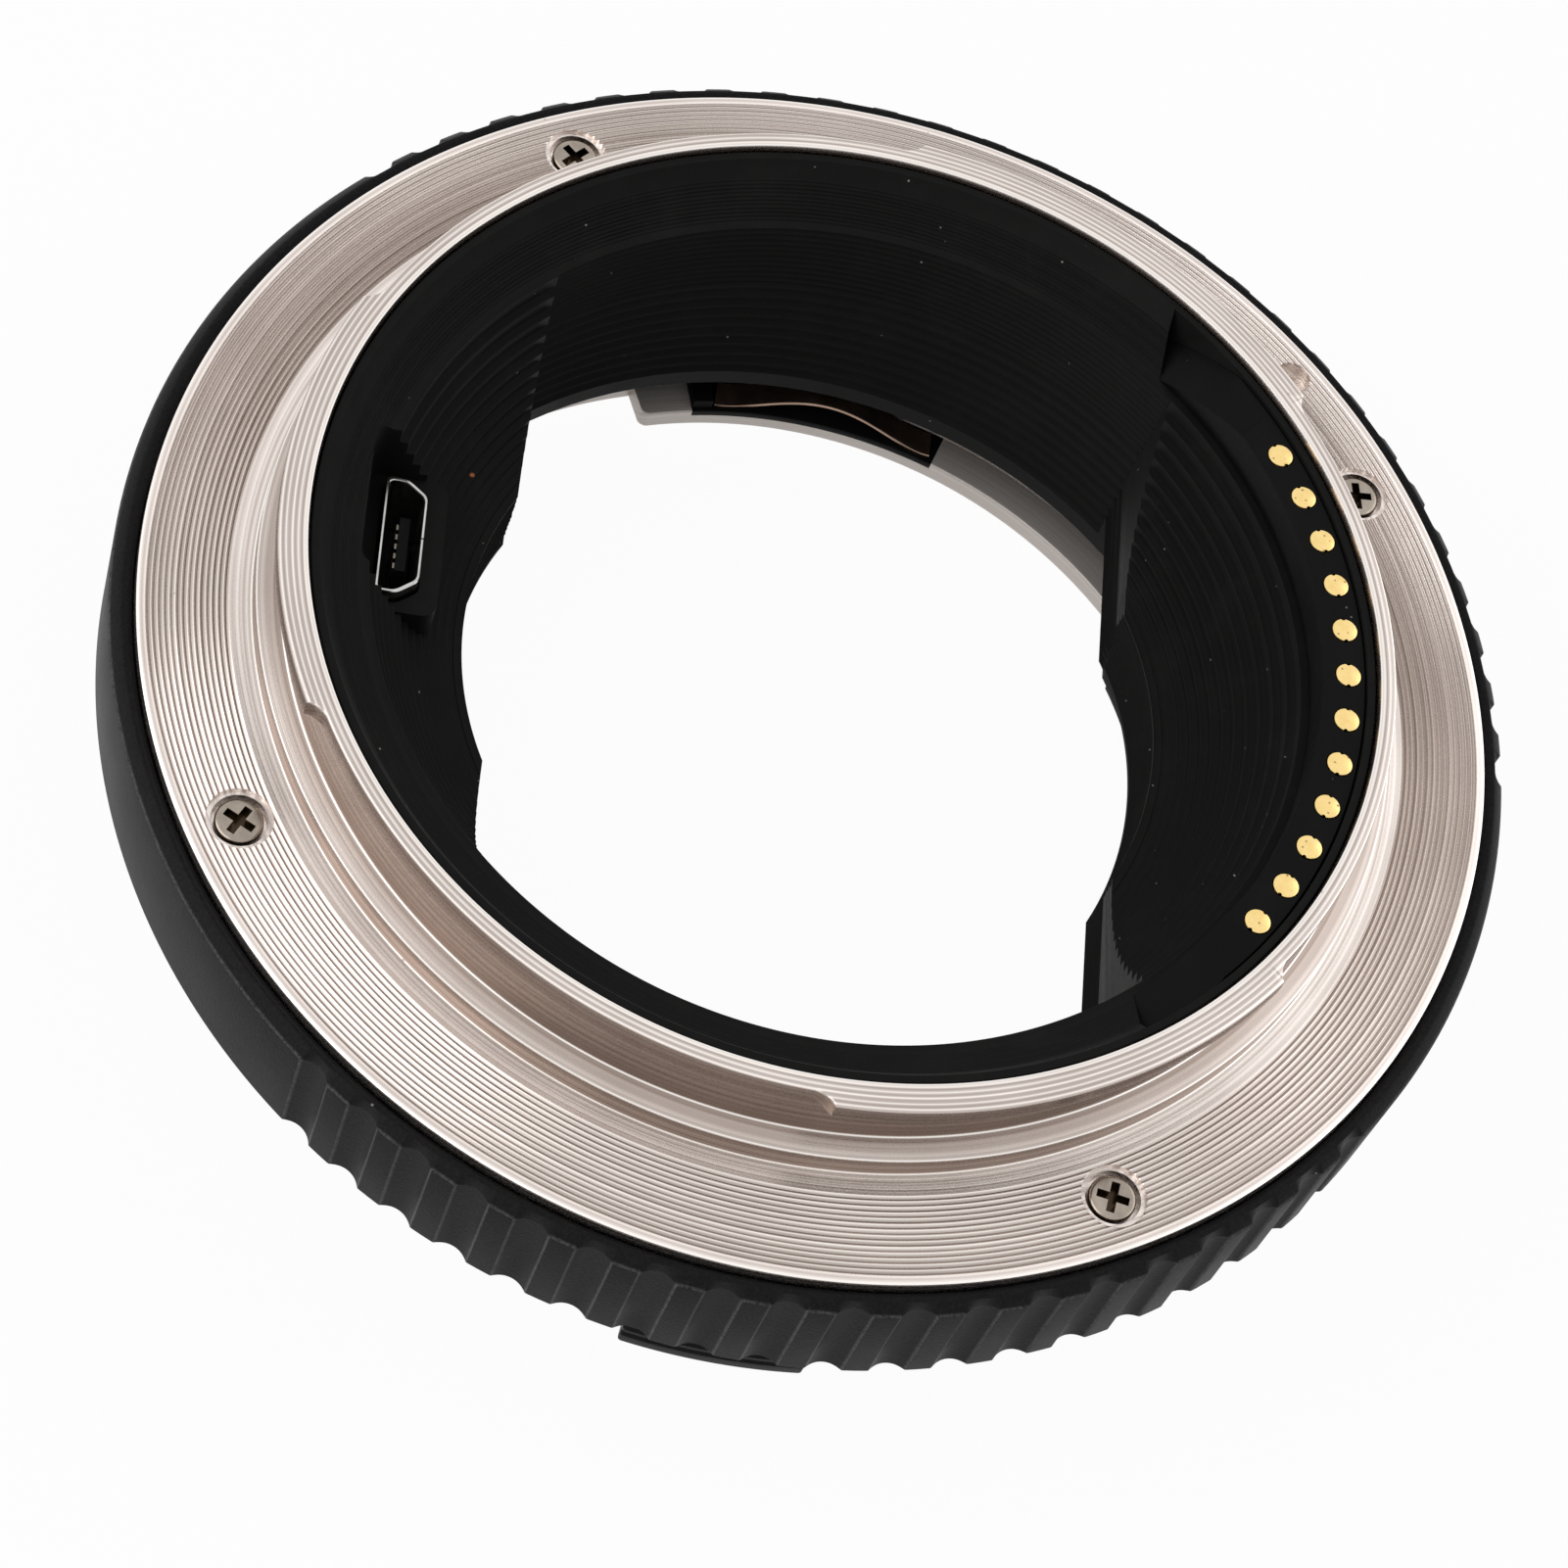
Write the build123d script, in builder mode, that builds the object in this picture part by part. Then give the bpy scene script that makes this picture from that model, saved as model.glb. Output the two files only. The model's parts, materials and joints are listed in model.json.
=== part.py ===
from build123d import *
import os
from math import acos, asin, cos, degrees, radians, sin

# Lens mount adapter: a short ring that carries a lens of one bayonet mount on a camera of another.
# Millimetres. Z runs along the optical axis, from the lens side (below) to the camera side (above).
# The origin is the centre of the lens-side flange face. +Y is the top of the camera, -X its grip side.

os.makedirs("parts", exist_ok=True)

# Distances along the axis
flange_distance = 17.3        # from the lens flange face to the camera flange face
bayonet_plate = 1.8           # thickness of the camera-side metal plate
plate_proud = 0.45            # how far that plate stands above the barrel
rim_height = 6.4              # from the camera flange face to the end of the bayonet rim
lens_plate = 1.35             # thickness of the lens-side metal plate
lens_plate_proud = 0.35
barrel_floor = 4.7            # top of the barrel's floor, which carries the inner parts
shelf_rise = 4.8              # from that floor up to the shelf for the circuit board

# Camera-side bayonet, from its bore outwards
rim_step = 1.2                # from the lens-side throat out to the rim's bore
neck_wall = 1.0
pilot_width = 1.35            # short spigot that centres the adapter in the camera's throat
pilot_height = 1.55
pilot_cone = 0.25
land_width = 1.25             # smooth land round the spigot
groove_count = 14
groove_pitch = 0.33
groove_depth = 0.09
groove_margin = 0.53          # smooth strip outside the grooves
plate_edge = 0.25             # bevel round the plate
lug_reach = 0.75
lug_thickness = 1.25
lug_centres = (91.0, 206.8, 332.0)
lug_span = 49.5
lug_cutter = 1.6              # radius of the cutter that clears the gaps between the lugs
lock_hole_radius = 1.1
lock_hole_depth = 1.2
lock_hole_inset = 1.95        # from the plate's edge
lock_hole_angle = -46.4

# Screws of the camera-side plate
screw_inset = 3.15            # from the plate's edge
screw_start = 30.0
screw_count = 4
spot_radius = 1.85
spot_depth = 0.3
counterbore_radius = 1.58
counterbore_depth = 1.0
head_radius = 1.35
head_height = 0.75
head_round = 0.18
shank_radius = 0.75
thread_gap = 0.06
screw_length = 5.0
cross_width = 0.42
cross_span = 1.7
cross_depth = 0.45

# Barrel
seam = 0.1                    # gap round the camera-side plate
barrel_lip = 0.45             # bevel that opens the seam
barrel_land = 0.2
barrel_bevel = 0.65
grip_height = 8.0             # height of the fluted band
grip_step = 1.45              # from the fluted band in to the foot
foot_rim = 2.05               # width of the foot's face round the lens-side ring
foot_height = 0.9
foot_bevel = 0.55
floor_wall = 1.6
plate_shoulder = 1.55         # width of the step that carries the camera-side plate
shelf_width = 1.3
boss_radius = 2.2
flute_radius = 1.35
flute_depth = 0.5
flute_pitch = 5.0
flute_groups = ((141.5, 19), (271.5, 28))    # first flute's angle and number of flutes

# Rear baffle
baffle_gap = 0.1
baffle_recess = 0.4           # from the bayonet rim down to the baffle's edge
baffle_edge = 0.5
baffle_flange = 1.2
baffle_flange_reach = 2.4
funnel_width = 0.6
funnel_drop = 1.1
ledge_inset = 3.6             # from the baffle's outside to the ledge inside
ledge_drop = 3.1              # from the bayonet rim down to the ledge
ledge_width = 0.5
throat_wall = 1.7
liner_wall = 1.3
dish_width = 6.4
dish_drop = 7.74              # from the ledge down to the dish's inner edge
dish_steps = 13
dish_bow = 1.9                # 1 is a straight cone, more is a bowl that steepens outwards
dish_slope = 50.0             # mean slope of the dish
window_inset = 2.14           # from the dish's edge in to the window's flat sides
window_gap = 1.7              # from the front liner up to the window's lower edge
window_draft = 0.25
ridge_depth = 0.3
fine_ridges = 11
fine_pitch = 0.52
coarse_ridges = 9
window_ridges = 6
window_pitch = 0.6

# Front liner, the black plate behind the lens-side throat
liner_plate = 1.2
liner_seat = 2.05
liner_step = 1.04             # how much its window is larger than the baffle's
liner_gap = 0.1

# Camera contacts
contact_count = 12
contact_pitch = 6.015
contact_middle = 268.8
contact_radius = 0.76
contact_inset = 1.525         # from the block's inner edge
contact_proud = 0.05
contact_length = 2.2
contact_notch = 0.2
contact_gap = 0.02
block_drop = 0.6              # from the bayonet rim down to the block's face
block_end_margin = 1.8        # from the last contact's middle to the block's straight end
block_bevel = 4.3
block_bevel_drop = 2.4
block_gap = 0.05

# Socket
socket_inset = 1.84           # from the throat's wall to the socket's middle
socket_angle = 85.3
socket_facing = 91.7          # direction in which its wide side faces
socket_rise = 0.9             # mouth above the pocket's floor
socket_width = 7.7
socket_depth = 2.45
socket_wall = 0.25
socket_corner = 0.95
socket_cut = 1.2              # depth of those cut corners
socket_gap = 0.12
tongue_width = 3.6
tongue_thickness = 0.6
tongue_offset = 0.15          # from the socket's middle towards its narrow side
tongue_recess = 0.9
insert_height = 1.5
strip_count = 5
strip_pitch = 0.65
strip_width = 0.35
strip_thickness = 0.12
strip_recess = 0.3
pocket_end = 0.4              # room beyond the socket's ends
pocket_side = 1.28            # and beyond its sides
pocket_drop = 4.5             # from the ledge down to the pocket's floor
pocket_corner = 1.2
pocket_base = 2.7
pocket_skin = 1.0

# Circuit board
board_thickness = 1.0
board_gap = 0.3
board_inner_gap = 0.6
board_opening = 17.0          # half the angle left free for the release
board_tongue_width = 18.0
board_tongue_inward = 2.8     # reach of the tongue past the socket's middle
board_tongue_root = 1.5
chip_size = 4.4
chip_height = 1.0
chip_angle = 255.0

# Lens-side ring, from its throat outwards
throat_gap_radius = 29.4
tab_reach = 2.4
tab_centres = (104.5, 224.5, 344.5)
tab_span = 75.0
collar_wall = 0.75
collar_gap = 0.1
collar_drop = 0.2
ring_width = 3.8
ring_seam = 0.15
ring_screw_count = 4
ring_screw_start = 45.0
ring_screw_length = 3.8
ring_head_radius = 1.35
ring_head_height = 0.6
ring_head_gap = 0.05
ring_cross_depth = 0.4
mark_radius = 0.85
mark_depth = 0.6
mark_inset = 1.9
mark_angle = 90.0
mark_sink = 0.05
mark_round = 0.25

# Leaf springs on the lens-side tabs, and the plastic seats let into the tabs under them
leaf_thickness = 0.22
leaf_margin = 0.3
leaf_width = 1.7
leaf_length = 14.0
leaf_rise = 1.45
leaf_offset = 12.85           # angle from the tab's middle to the leaf spring's
seat_lead = 0.7               # angle from the seat's start to the leaf spring
seat_thickness = 0.45
seat_gap = 0.05
stop_lead = 0.3               # angle from the leaf spring to the raised stop at the seat's end
stop_span = 2.7
stop_height = 0.75
stop_inset = 0.25

# Lens contacts
pin_count = 8
pin_pitch = 6.6
pin_inset = 2.3               # from the tabs' inner edge
pin_middle = 270.0
pin_radius = 0.55
pin_clearance = 0.05
pin_head_radius = 0.85
pin_head_height = 0.4
pin_head_gap = 0.1
pin_tail_radius = 0.4
pin_tip_round = 0.25
pin_travel = 1.0
pin_reach = 1.1
pin_length = 4.6
pin_guide = 0.7
lens_block_inward = 2.0
lens_block_outward = 2.4
lens_block_height = 2.0
lens_block_waist = 0.6
lens_block_roof = 0.6
pin_headroom = 1.6            # room for the pins' springs, above the raised pins
lens_block_margin = 4.6       # angle beyond the first and the last pin

# Lens release
release_angle = 179.0
release_travel = 2.0
pad_half_angle = 7.75
pad_height = 2.9
pad_headroom = 0.55           # left above the raised pad
pad_inset = 2.0               # from the fluted band
pad_setback = 3.1             # from the lock pin
pad_bevel = 0.15
pad_grooves = 2
pad_groove_depth = 0.45
pad_groove_pitch = 0.8
stem_width = 1.1
stem_height = 1.0
stem_half_angle = 5.5
slot_clearance = 0.3
slot_margin = 0.4
lock_pin_radius = 1.2
lock_pin_inset = 1.8          # from the ring's edge
lock_pin_reach = 1.3
lock_pin_stub = 3.3
lock_pin_clearance = 0.05
lock_pin_bevel = 0.3
shoulder_width = 0.3
shoulder_height = 0.4
bracket_thickness = 1.0
bracket_half_width = 3.6
bracket_inward = 2.3
bracket_margin = 0.4
bracket_corner = 0.8
bracket_fit = 0.01
spring_wire = 0.2
spring_radius = 1.75
spring_turns = 5

# Heights that follow from the sizes above
rim_top = flange_distance + rim_height
plate_under = flange_distance - bayonet_plate
barrel_top = flange_distance - plate_proud
grip_foot = barrel_top - grip_height
lug_foot = rim_top - lug_thickness
head_seat = flange_distance - counterbore_depth
board_shelf = barrel_floor + shelf_rise
board_top = board_shelf + board_thickness
liner_top = barrel_floor + liner_plate
collar_top = barrel_floor - collar_drop
baffle_top = rim_top - baffle_recess
flange_under = plate_under - baffle_flange
ledge_height = rim_top - ledge_drop
dish_floor = ledge_height - dish_drop
window_floor = liner_top + window_gap
block_face = rim_top - block_drop
pocket_floor = ledge_height - pocket_drop
socket_mouth = pocket_floor + socket_rise
lens_block_face = barrel_floor - lens_block_height
pin_seat = lens_block_face + pin_guide
pin_tip = lens_block_face - pin_reach
pin_top = pin_tip + pin_length
pin_chamber_top = pin_top + pin_travel + pin_headroom
lens_block_top = pin_chamber_top + lens_block_roof
pad_top = grip_foot - release_travel - pad_headroom
pad_low = pad_top - pad_height
bracket_low = pad_top + stem_height
bracket_top = bracket_low + bracket_thickness

# Radii that follow
rim_bore = throat_gap_radius + rim_step
neck_radius = rim_bore + neck_wall
lug_radius = neck_radius + lug_reach
pilot_radius = neck_radius + pilot_width
land_radius = pilot_radius + land_width
plate_radius = land_radius + groove_count * groove_pitch + groove_margin
screw_circle = plate_radius - screw_inset
lock_hole_circle = plate_radius - lock_hole_inset
plate_seat = plate_radius + seam
cavity_radius = plate_seat - plate_shoulder
barrel_radius = plate_seat + barrel_lip + barrel_land + barrel_bevel
shoulder_radius = barrel_radius - grip_step
tab_radius = throat_gap_radius - tab_reach
collar_radius = throat_gap_radius + collar_wall
collar_bore = collar_radius + collar_gap
ring_radius = throat_gap_radius + ring_width
ring_seat = ring_radius + ring_seam
ring_screw_circle = collar_radius + ring_head_radius
mark_circle = ring_radius - mark_inset
foot_radius = ring_seat + foot_rim
cone_slope = (shoulder_radius - foot_radius) / (grip_foot - foot_height)
baffle_radius = rim_bore - baffle_gap
skirt_bore = baffle_radius - liner_wall
baffle_flange_radius = baffle_radius + baffle_flange_reach
throat_radius = baffle_radius - ledge_inset
throat_outer = throat_radius + throat_wall
dish_radius = throat_radius - dish_width
window_half = dish_radius - window_inset
socket_circle = throat_radius - socket_inset
liner_radius = collar_bore + liner_seat
block_inner = throat_radius + ledge_width
block_outer = baffle_radius - baffle_edge - block_gap
contact_circle = block_inner + contact_inset
last_contact_angle = contact_middle - (contact_count - 1) / 2 * contact_pitch
block_end = -contact_circle * sin(radians(last_contact_angle)) - block_end_margin
board_inner = throat_outer + board_inner_gap
board_radius = cavity_radius - board_gap
chip_circle = (board_inner + board_radius) / 2
pin_circle = tab_radius - pin_inset
lens_block_inner = pin_circle - lens_block_inward
lens_block_outer = pin_circle + lens_block_outward
lock_pin_circle = ring_radius - lock_pin_inset
pad_inner = lock_pin_circle + pad_setback
pad_radius = barrel_radius - pad_inset
stem_outer = pad_inner + stem_width
leaf_inner = tab_radius + leaf_margin
leaf_outer = leaf_inner + leaf_width
leaf_span = round(2 * degrees(asin(leaf_length / 2 / leaf_inner)), 1)
seat_offset = leaf_offset - leaf_span / 2 - seat_lead   # from the tab's middle to the seat's start
seat_span = seat_lead + leaf_span + stop_lead + stop_span
beyond = 2 * barrel_radius    # for cuts that leave the part


def keep(piece, label):
    """Names a finished piece and writes it."""
    piece.label = label
    export_step(piece, "parts/" + label + ".step")


def cone_radius(height):
    """Outer radius of the barrel's tapered foot at a height."""
    return foot_radius + cone_slope * (height - foot_height)


def dish_height(radius):
    """Height of the baffle's dish at a radius."""
    share = (radius - dish_radius) / dish_width
    return dish_floor + dish_drop * share**dish_bow


def sector(inner, outer, start, size, mode=Mode.ADD):
    """Face between two radii over an angle, in the sketch that is open."""
    with BuildLine() as outline:
        near = CenterArc((0, 0), inner, start, size)
        far = CenterArc((0, 0), outer, start, size)
        Line(near @ 0, far @ 0)
        Line(near @ 1, far @ 1)
    make_face(outline.edges(), mode=mode)


def grooves(edge, low, pitch, count):
    """Points of the V-grooves in an upright wall, from the lowest to the highest."""
    points = []
    for index in range(count):
        foot = low + index * pitch
        points += [(edge, foot), (edge + ridge_depth, foot + pitch / 2)]
    return points + [(edge, low + count * pitch)]


def step_angles(middle, pitch, count):
    """Angles of a row of equal steps about its middle."""
    return [middle + (index - (count - 1) / 2) * pitch for index in range(count)]


# Camera-side bayonet ring: grooved flange, spigot, neck and three lugs, turned and milled in one piece
lug_gap_circle = neck_radius + lug_cutter
lug_corner = degrees(
    acos((lug_gap_circle**2 + lug_radius**2 - lug_cutter**2) / (2 * lug_gap_circle * lug_radius))
)
face_points = [(land_radius + groove_count * groove_pitch, flange_distance)]
for index in reversed(range(groove_count)):
    groove_start = land_radius + index * groove_pitch
    face_points.append((groove_start + groove_pitch / 2, flange_distance - groove_depth))
    face_points.append((groove_start, flange_distance))

with BuildPart() as camera_bayonet:
    with BuildSketch(Plane.XZ):
        Polygon(
            (rim_bore, plate_under),
            (plate_radius, plate_under),
            (plate_radius, flange_distance - plate_edge),
            (plate_radius - plate_edge, flange_distance),
            *face_points,
            (pilot_radius, flange_distance),
            (pilot_radius, flange_distance + pilot_height),
            (neck_radius, flange_distance + pilot_height + pilot_cone),
            (neck_radius, rim_top),
            (rim_bore, rim_top),
            align=None,
        )
    revolve(axis=Axis.Z)
    with BuildSketch(Plane.XY.offset(lug_foot)):
        Circle(lug_radius)
        for index, centre in enumerate(lug_centres):
            gap_start = centre + lug_span / 2 + lug_corner
            gap_end = lug_centres[(index + 1) % len(lug_centres)] - lug_span / 2 - lug_corner
            gap = CenterArc((0, 0), lug_gap_circle, gap_start, (gap_end - gap_start) % 360, mode=Mode.PRIVATE)
            SlotArc(gap, 2 * lug_cutter, mode=Mode.SUBTRACT)
        Circle(rim_bore + neck_wall / 2, mode=Mode.SUBTRACT)
    extrude(amount=lug_thickness)
    with BuildSketch(Plane.XY.offset(flange_distance)):
        with PolarLocations(screw_circle, screw_count, start_angle=screw_start):
            Circle(spot_radius)
    extrude(amount=-spot_depth, mode=Mode.SUBTRACT)
    with BuildSketch(Plane.XY.offset(flange_distance)):
        with PolarLocations(screw_circle, screw_count, start_angle=screw_start):
            Circle(counterbore_radius)
    extrude(amount=-counterbore_depth, mode=Mode.SUBTRACT)
    with BuildSketch(Plane.XY.offset(plate_under)):
        with PolarLocations(screw_circle, screw_count, start_angle=screw_start):
            Circle(shank_radius + thread_gap)
    extrude(amount=bayonet_plate, mode=Mode.SUBTRACT)
    with BuildSketch(Plane.XY.offset(flange_distance)):
        with PolarLocations(lock_hole_circle, 1, start_angle=lock_hole_angle):
            Circle(lock_hole_radius)
    extrude(amount=-lock_hole_depth, mode=Mode.SUBTRACT)
keep(camera_bayonet.part, "camera_bayonet")

# Four cross-recessed screws that hold the bayonet ring to the barrel
for index in range(screw_count):
    screw_angle = screw_start + 360 / screw_count * index
    with BuildPart() as bayonet_screw:
        with BuildSketch(Plane.XY.offset(head_seat)):
            with PolarLocations(screw_circle, 1, start_angle=screw_angle):
                Circle(head_radius)
        extrude(amount=head_height)
        fillet(bayonet_screw.edges().sort_by(Axis.Z)[-1], head_round)
        with BuildSketch(Plane.XY.offset(head_seat)):
            with PolarLocations(screw_circle, 1, start_angle=screw_angle):
                Circle(shank_radius)
        extrude(amount=-screw_length)
        with BuildSketch(Plane.XY.offset(head_seat + head_height)):
            with PolarLocations(screw_circle, 1, start_angle=screw_angle):
                Rectangle(cross_width, cross_span)
                Rectangle(cross_span, cross_width)
        extrude(amount=-cross_depth, mode=Mode.SUBTRACT)
    keep(bayonet_screw.part, f"bayonet_screw_{index + 1}")

# Room inside the barrel, open towards the camera, with the four screw bosses left standing
with BuildPart() as cavity:
    with BuildSketch(Plane.XZ):
        Polygon(
            (0, barrel_floor),
            (cone_radius(barrel_floor) - floor_wall, barrel_floor),
            (cavity_radius - shelf_width, board_shelf),
            (cavity_radius, board_shelf),
            (cavity_radius, plate_under),
            (0, plate_under),
            align=None,
        )
    revolve(axis=Axis.Z)
    with BuildSketch(Plane.XY.offset(barrel_floor)):
        with PolarLocations(screw_circle, screw_count, start_angle=screw_start):
            Circle(boss_radius)
    extrude(amount=plate_under - barrel_floor, mode=Mode.SUBTRACT)

# Barrel: fluted band, tapered foot, floor and screw bosses, turned and milled from one blank
slot_half_angle = pad_half_angle + degrees(slot_clearance / pad_inner)
with BuildPart() as barrel:
    with BuildSketch(Plane.XZ):
        Polygon(
            (collar_bore, lens_plate),
            (ring_seat, lens_plate),
            (ring_seat, lens_plate_proud),
            (foot_radius - foot_bevel, lens_plate_proud),
            (foot_radius, foot_height),
            (shoulder_radius, grip_foot),
            (barrel_radius, grip_foot),
            (barrel_radius, barrel_top - barrel_bevel),
            (barrel_radius - barrel_bevel, barrel_top),
            (plate_seat + barrel_lip, barrel_top),
            (plate_seat, barrel_top - barrel_lip),
            (plate_seat, plate_under),
            (collar_bore, plate_under),
            align=None,
        )
    revolve(axis=Axis.Z)
    add(cavity.part, mode=Mode.SUBTRACT)
    with BuildSketch(Plane.XY.offset(plate_under)):
        with PolarLocations(screw_circle, screw_count, start_angle=screw_start):
            Circle(shank_radius + thread_gap)
    extrude(amount=-screw_length, mode=Mode.SUBTRACT)
    with BuildSketch(Plane.XY.offset(lens_plate)):
        with PolarLocations(ring_screw_circle, ring_screw_count, start_angle=ring_screw_start):
            Circle(shank_radius + thread_gap)
    extrude(amount=ring_screw_length + thread_gap - lens_plate, mode=Mode.SUBTRACT)
    with BuildSketch(Plane.XY.offset(grip_foot)):
        for first, count in flute_groups:
            span = count * flute_pitch
            with PolarLocations(barrel_radius - flute_depth + flute_radius, count, first, span):
                Circle(flute_radius)
    extrude(amount=grip_height, mode=Mode.SUBTRACT)
    with BuildSketch(Plane.XY.offset(pad_low - slot_margin)):
        sector(pad_inner - slot_clearance, beyond, release_angle - slot_half_angle, 2 * slot_half_angle)
    extrude(amount=grip_foot - pad_low + slot_margin, mode=Mode.SUBTRACT)
    with BuildSketch(Plane.XY.offset(lens_plate)):
        with PolarLocations(lock_pin_circle, 1, start_angle=release_angle):
            Circle(lock_pin_radius + slot_clearance)
    extrude(amount=barrel_floor - lens_plate, mode=Mode.SUBTRACT)
keep(barrel.part, "barrel")


def bowl(depth):
    """Points of the dish's surface, set back into the wall by a depth, from the inside outwards."""
    across = depth * sin(radians(dish_slope))
    down = depth * cos(radians(dish_slope))
    radii = [dish_radius + dish_width * index / dish_steps for index in range(0, dish_steps + 1, 2)]
    return [(radius + across, dish_height(radius) - down) for radius in radii + [throat_radius]]


socket_x = socket_circle * cos(radians(socket_angle))
socket_y = socket_circle * sin(radians(socket_angle))
socket_place = Location((socket_x, socket_y, 0), (0, 0, socket_facing))


def pocket(grow, mode=Mode.ADD):
    """Rounded outline of the socket's pocket, grown by an amount."""
    depth = socket_depth + 2 * (pocket_side + grow)
    width = socket_width + 2 * (pocket_end + grow)
    with Locations(socket_place):
        RectangleRounded(depth, width, pocket_corner, mode=mode)


def socket(grow, mode=Mode.ADD):
    """Outline of the socket with its wide side outwards, grown by an amount."""
    half_depth = socket_depth / 2 + grow
    half_width = socket_width / 2 + grow
    with Locations(socket_place):
        Polygon(
            (half_depth, -half_width),
            (half_depth, half_width),
            (socket_cut - half_depth, half_width),
            (-half_depth, half_width - socket_corner),
            (-half_depth, socket_corner - half_width),
            (socket_cut - half_depth, -half_width),
            align=None,
            mode=mode,
        )


# Image window through the baffle: ridged round ends, flat ridged sides and a round bulge on each side
fine_low = ledge_height - fine_ridges * fine_pitch
coarse_pitch = (fine_low - liner_top) / coarse_ridges
window_side = [
    (window_half, barrel_floor),
    (window_half, window_floor),
]
for index in range(window_ridges):
    ridge_low = window_floor + index * window_pitch
    window_side.append((window_half + ridge_depth, ridge_low + window_pitch / 2))
    window_side.append((window_half, ridge_low + window_pitch))
window_side.append((window_half + window_draft, rim_top))

with BuildPart() as window:
    with BuildSketch(Plane.XZ):
        Polygon(
            (0, barrel_floor),
            (throat_radius, barrel_floor),
            *grooves(throat_radius, liner_top, coarse_pitch, coarse_ridges)[:-1],
            *grooves(throat_radius, fine_low, fine_pitch, fine_ridges),
            (throat_radius, rim_top),
            (0, rim_top),
            align=None,
        )
    revolve(axis=Axis.Z)
    with BuildSketch(Plane.YZ):
        Polygon(*window_side, *[(-y, z) for y, z in reversed(window_side)], align=None)
    extrude(amount=beyond, both=True, mode=Mode.INTERSECT)
    with BuildSketch(Plane.XY.offset(barrel_floor)):
        Circle(dish_radius)
    extrude(amount=rim_top - barrel_floor)

# Open room above the dish, up to the funnel at the rim
step_width = dish_width / dish_steps
dish_points = []
for index in range(dish_steps):
    tread = dish_radius + index * step_width
    dish_points += [(tread, dish_height(tread)), (tread + step_width, dish_height(tread))]

with BuildPart() as baffle_room:
    with BuildSketch(Plane.XZ):
        Polygon(
            (0, dish_floor),
            *dish_points,
            (throat_radius, ledge_height),
            (block_inner, ledge_height),
            (baffle_radius - baffle_edge - funnel_width, baffle_top - funnel_drop),
            (baffle_radius - baffle_edge, baffle_top),
            (baffle_radius - baffle_edge, rim_top),
            (0, rim_top),
            align=None,
        )
    revolve(axis=Axis.Z)

# Rear baffle: stepped dish, window walls, clamped flange and the pocket for the socket, moulded in one
block_foot = block_end - block_bevel
with BuildPart() as rear_baffle:
    with BuildSketch(Plane.XZ):
        Polygon(
            (0, bowl(liner_wall)[0][1]),
            *bowl(liner_wall),
            (skirt_bore, bowl(liner_wall)[-1][1]),
            (skirt_bore, flange_under),
            (baffle_flange_radius, flange_under),
            (baffle_flange_radius, plate_under),
            (baffle_radius, plate_under),
            (baffle_radius, baffle_top),
            (0, baffle_top),
            align=None,
        )
    revolve(axis=Axis.Z)
    with BuildSketch(Plane.XY.offset(liner_top)):
        Circle(throat_outer)
        Rectangle(beyond, 2 * (window_half + liner_wall), mode=Mode.INTERSECT)
        Circle(dish_radius + liner_wall)
    extrude(amount=ledge_height - liner_top)
    with BuildSketch(Plane.XY.offset(pocket_floor - pocket_base)):
        pocket(pocket_skin)
    extrude(amount=pocket_base + pocket_drop)
    add(baffle_room.part, mode=Mode.SUBTRACT)
    with BuildSketch(Plane.XY.offset(pocket_floor - pocket_base)):
        pocket(0)
    extrude(amount=pocket_base)
    with BuildSketch(Plane.XY.offset(pocket_floor)):
        pocket(0)
    extrude(amount=rim_top - pocket_floor, mode=Mode.SUBTRACT)
    with BuildSketch(Plane.XY.offset(board_top)):
        socket(socket_gap)
    extrude(amount=rim_top - board_top, mode=Mode.SUBTRACT)
    add(window.part, mode=Mode.SUBTRACT)
    with BuildSketch(Plane.XY.offset(liner_top)):
        Circle(throat_radius)
    extrude(amount=window_gap, mode=Mode.SUBTRACT)
    with BuildSketch(Plane.XY.offset(ledge_height)):
        Circle(baffle_radius - baffle_edge)
        with Locations((0, block_gap - block_foot)):
            Rectangle(beyond, beyond, align=(Align.CENTER, Align.MAX), mode=Mode.INTERSECT)
    extrude(amount=rim_top - ledge_height, mode=Mode.SUBTRACT)
keep(rear_baffle.part, "rear_baffle")

# Front liner: flat black plate on the barrel's floor, with the window, the lens contacts and the lock pin
lens_block_half_angle = (pin_count - 1) * pin_pitch / 2 + lens_block_margin
waist_inner = lens_block_inner + lens_block_waist
waist_outer = lens_block_outer - lens_block_waist
waist_half_angle = lens_block_half_angle - degrees(lens_block_waist / pin_circle)
waist_gap_angle = degrees(liner_gap / pin_circle)
with BuildPart() as front_liner:
    with BuildSketch(Plane.XY.offset(barrel_floor)):
        Circle(liner_radius)
        with BuildSketch(mode=Mode.PRIVATE) as liner_window:
            Circle(throat_radius)
            Rectangle(beyond, 2 * (window_half + liner_step), mode=Mode.INTERSECT)
            Circle(dish_radius + liner_wall)
        add(liner_window.sketch, mode=Mode.SUBTRACT)
        sector(
            waist_inner - liner_gap,
            waist_outer + liner_gap,
            pin_middle - waist_half_angle - waist_gap_angle,
            2 * (waist_half_angle + waist_gap_angle),
            mode=Mode.SUBTRACT,
        )
        with PolarLocations(lock_pin_circle, 1, start_angle=release_angle):
            Circle(lock_pin_radius + slot_clearance, mode=Mode.SUBTRACT)
    extrude(amount=liner_plate)
keep(front_liner.part, "front_liner")

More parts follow.
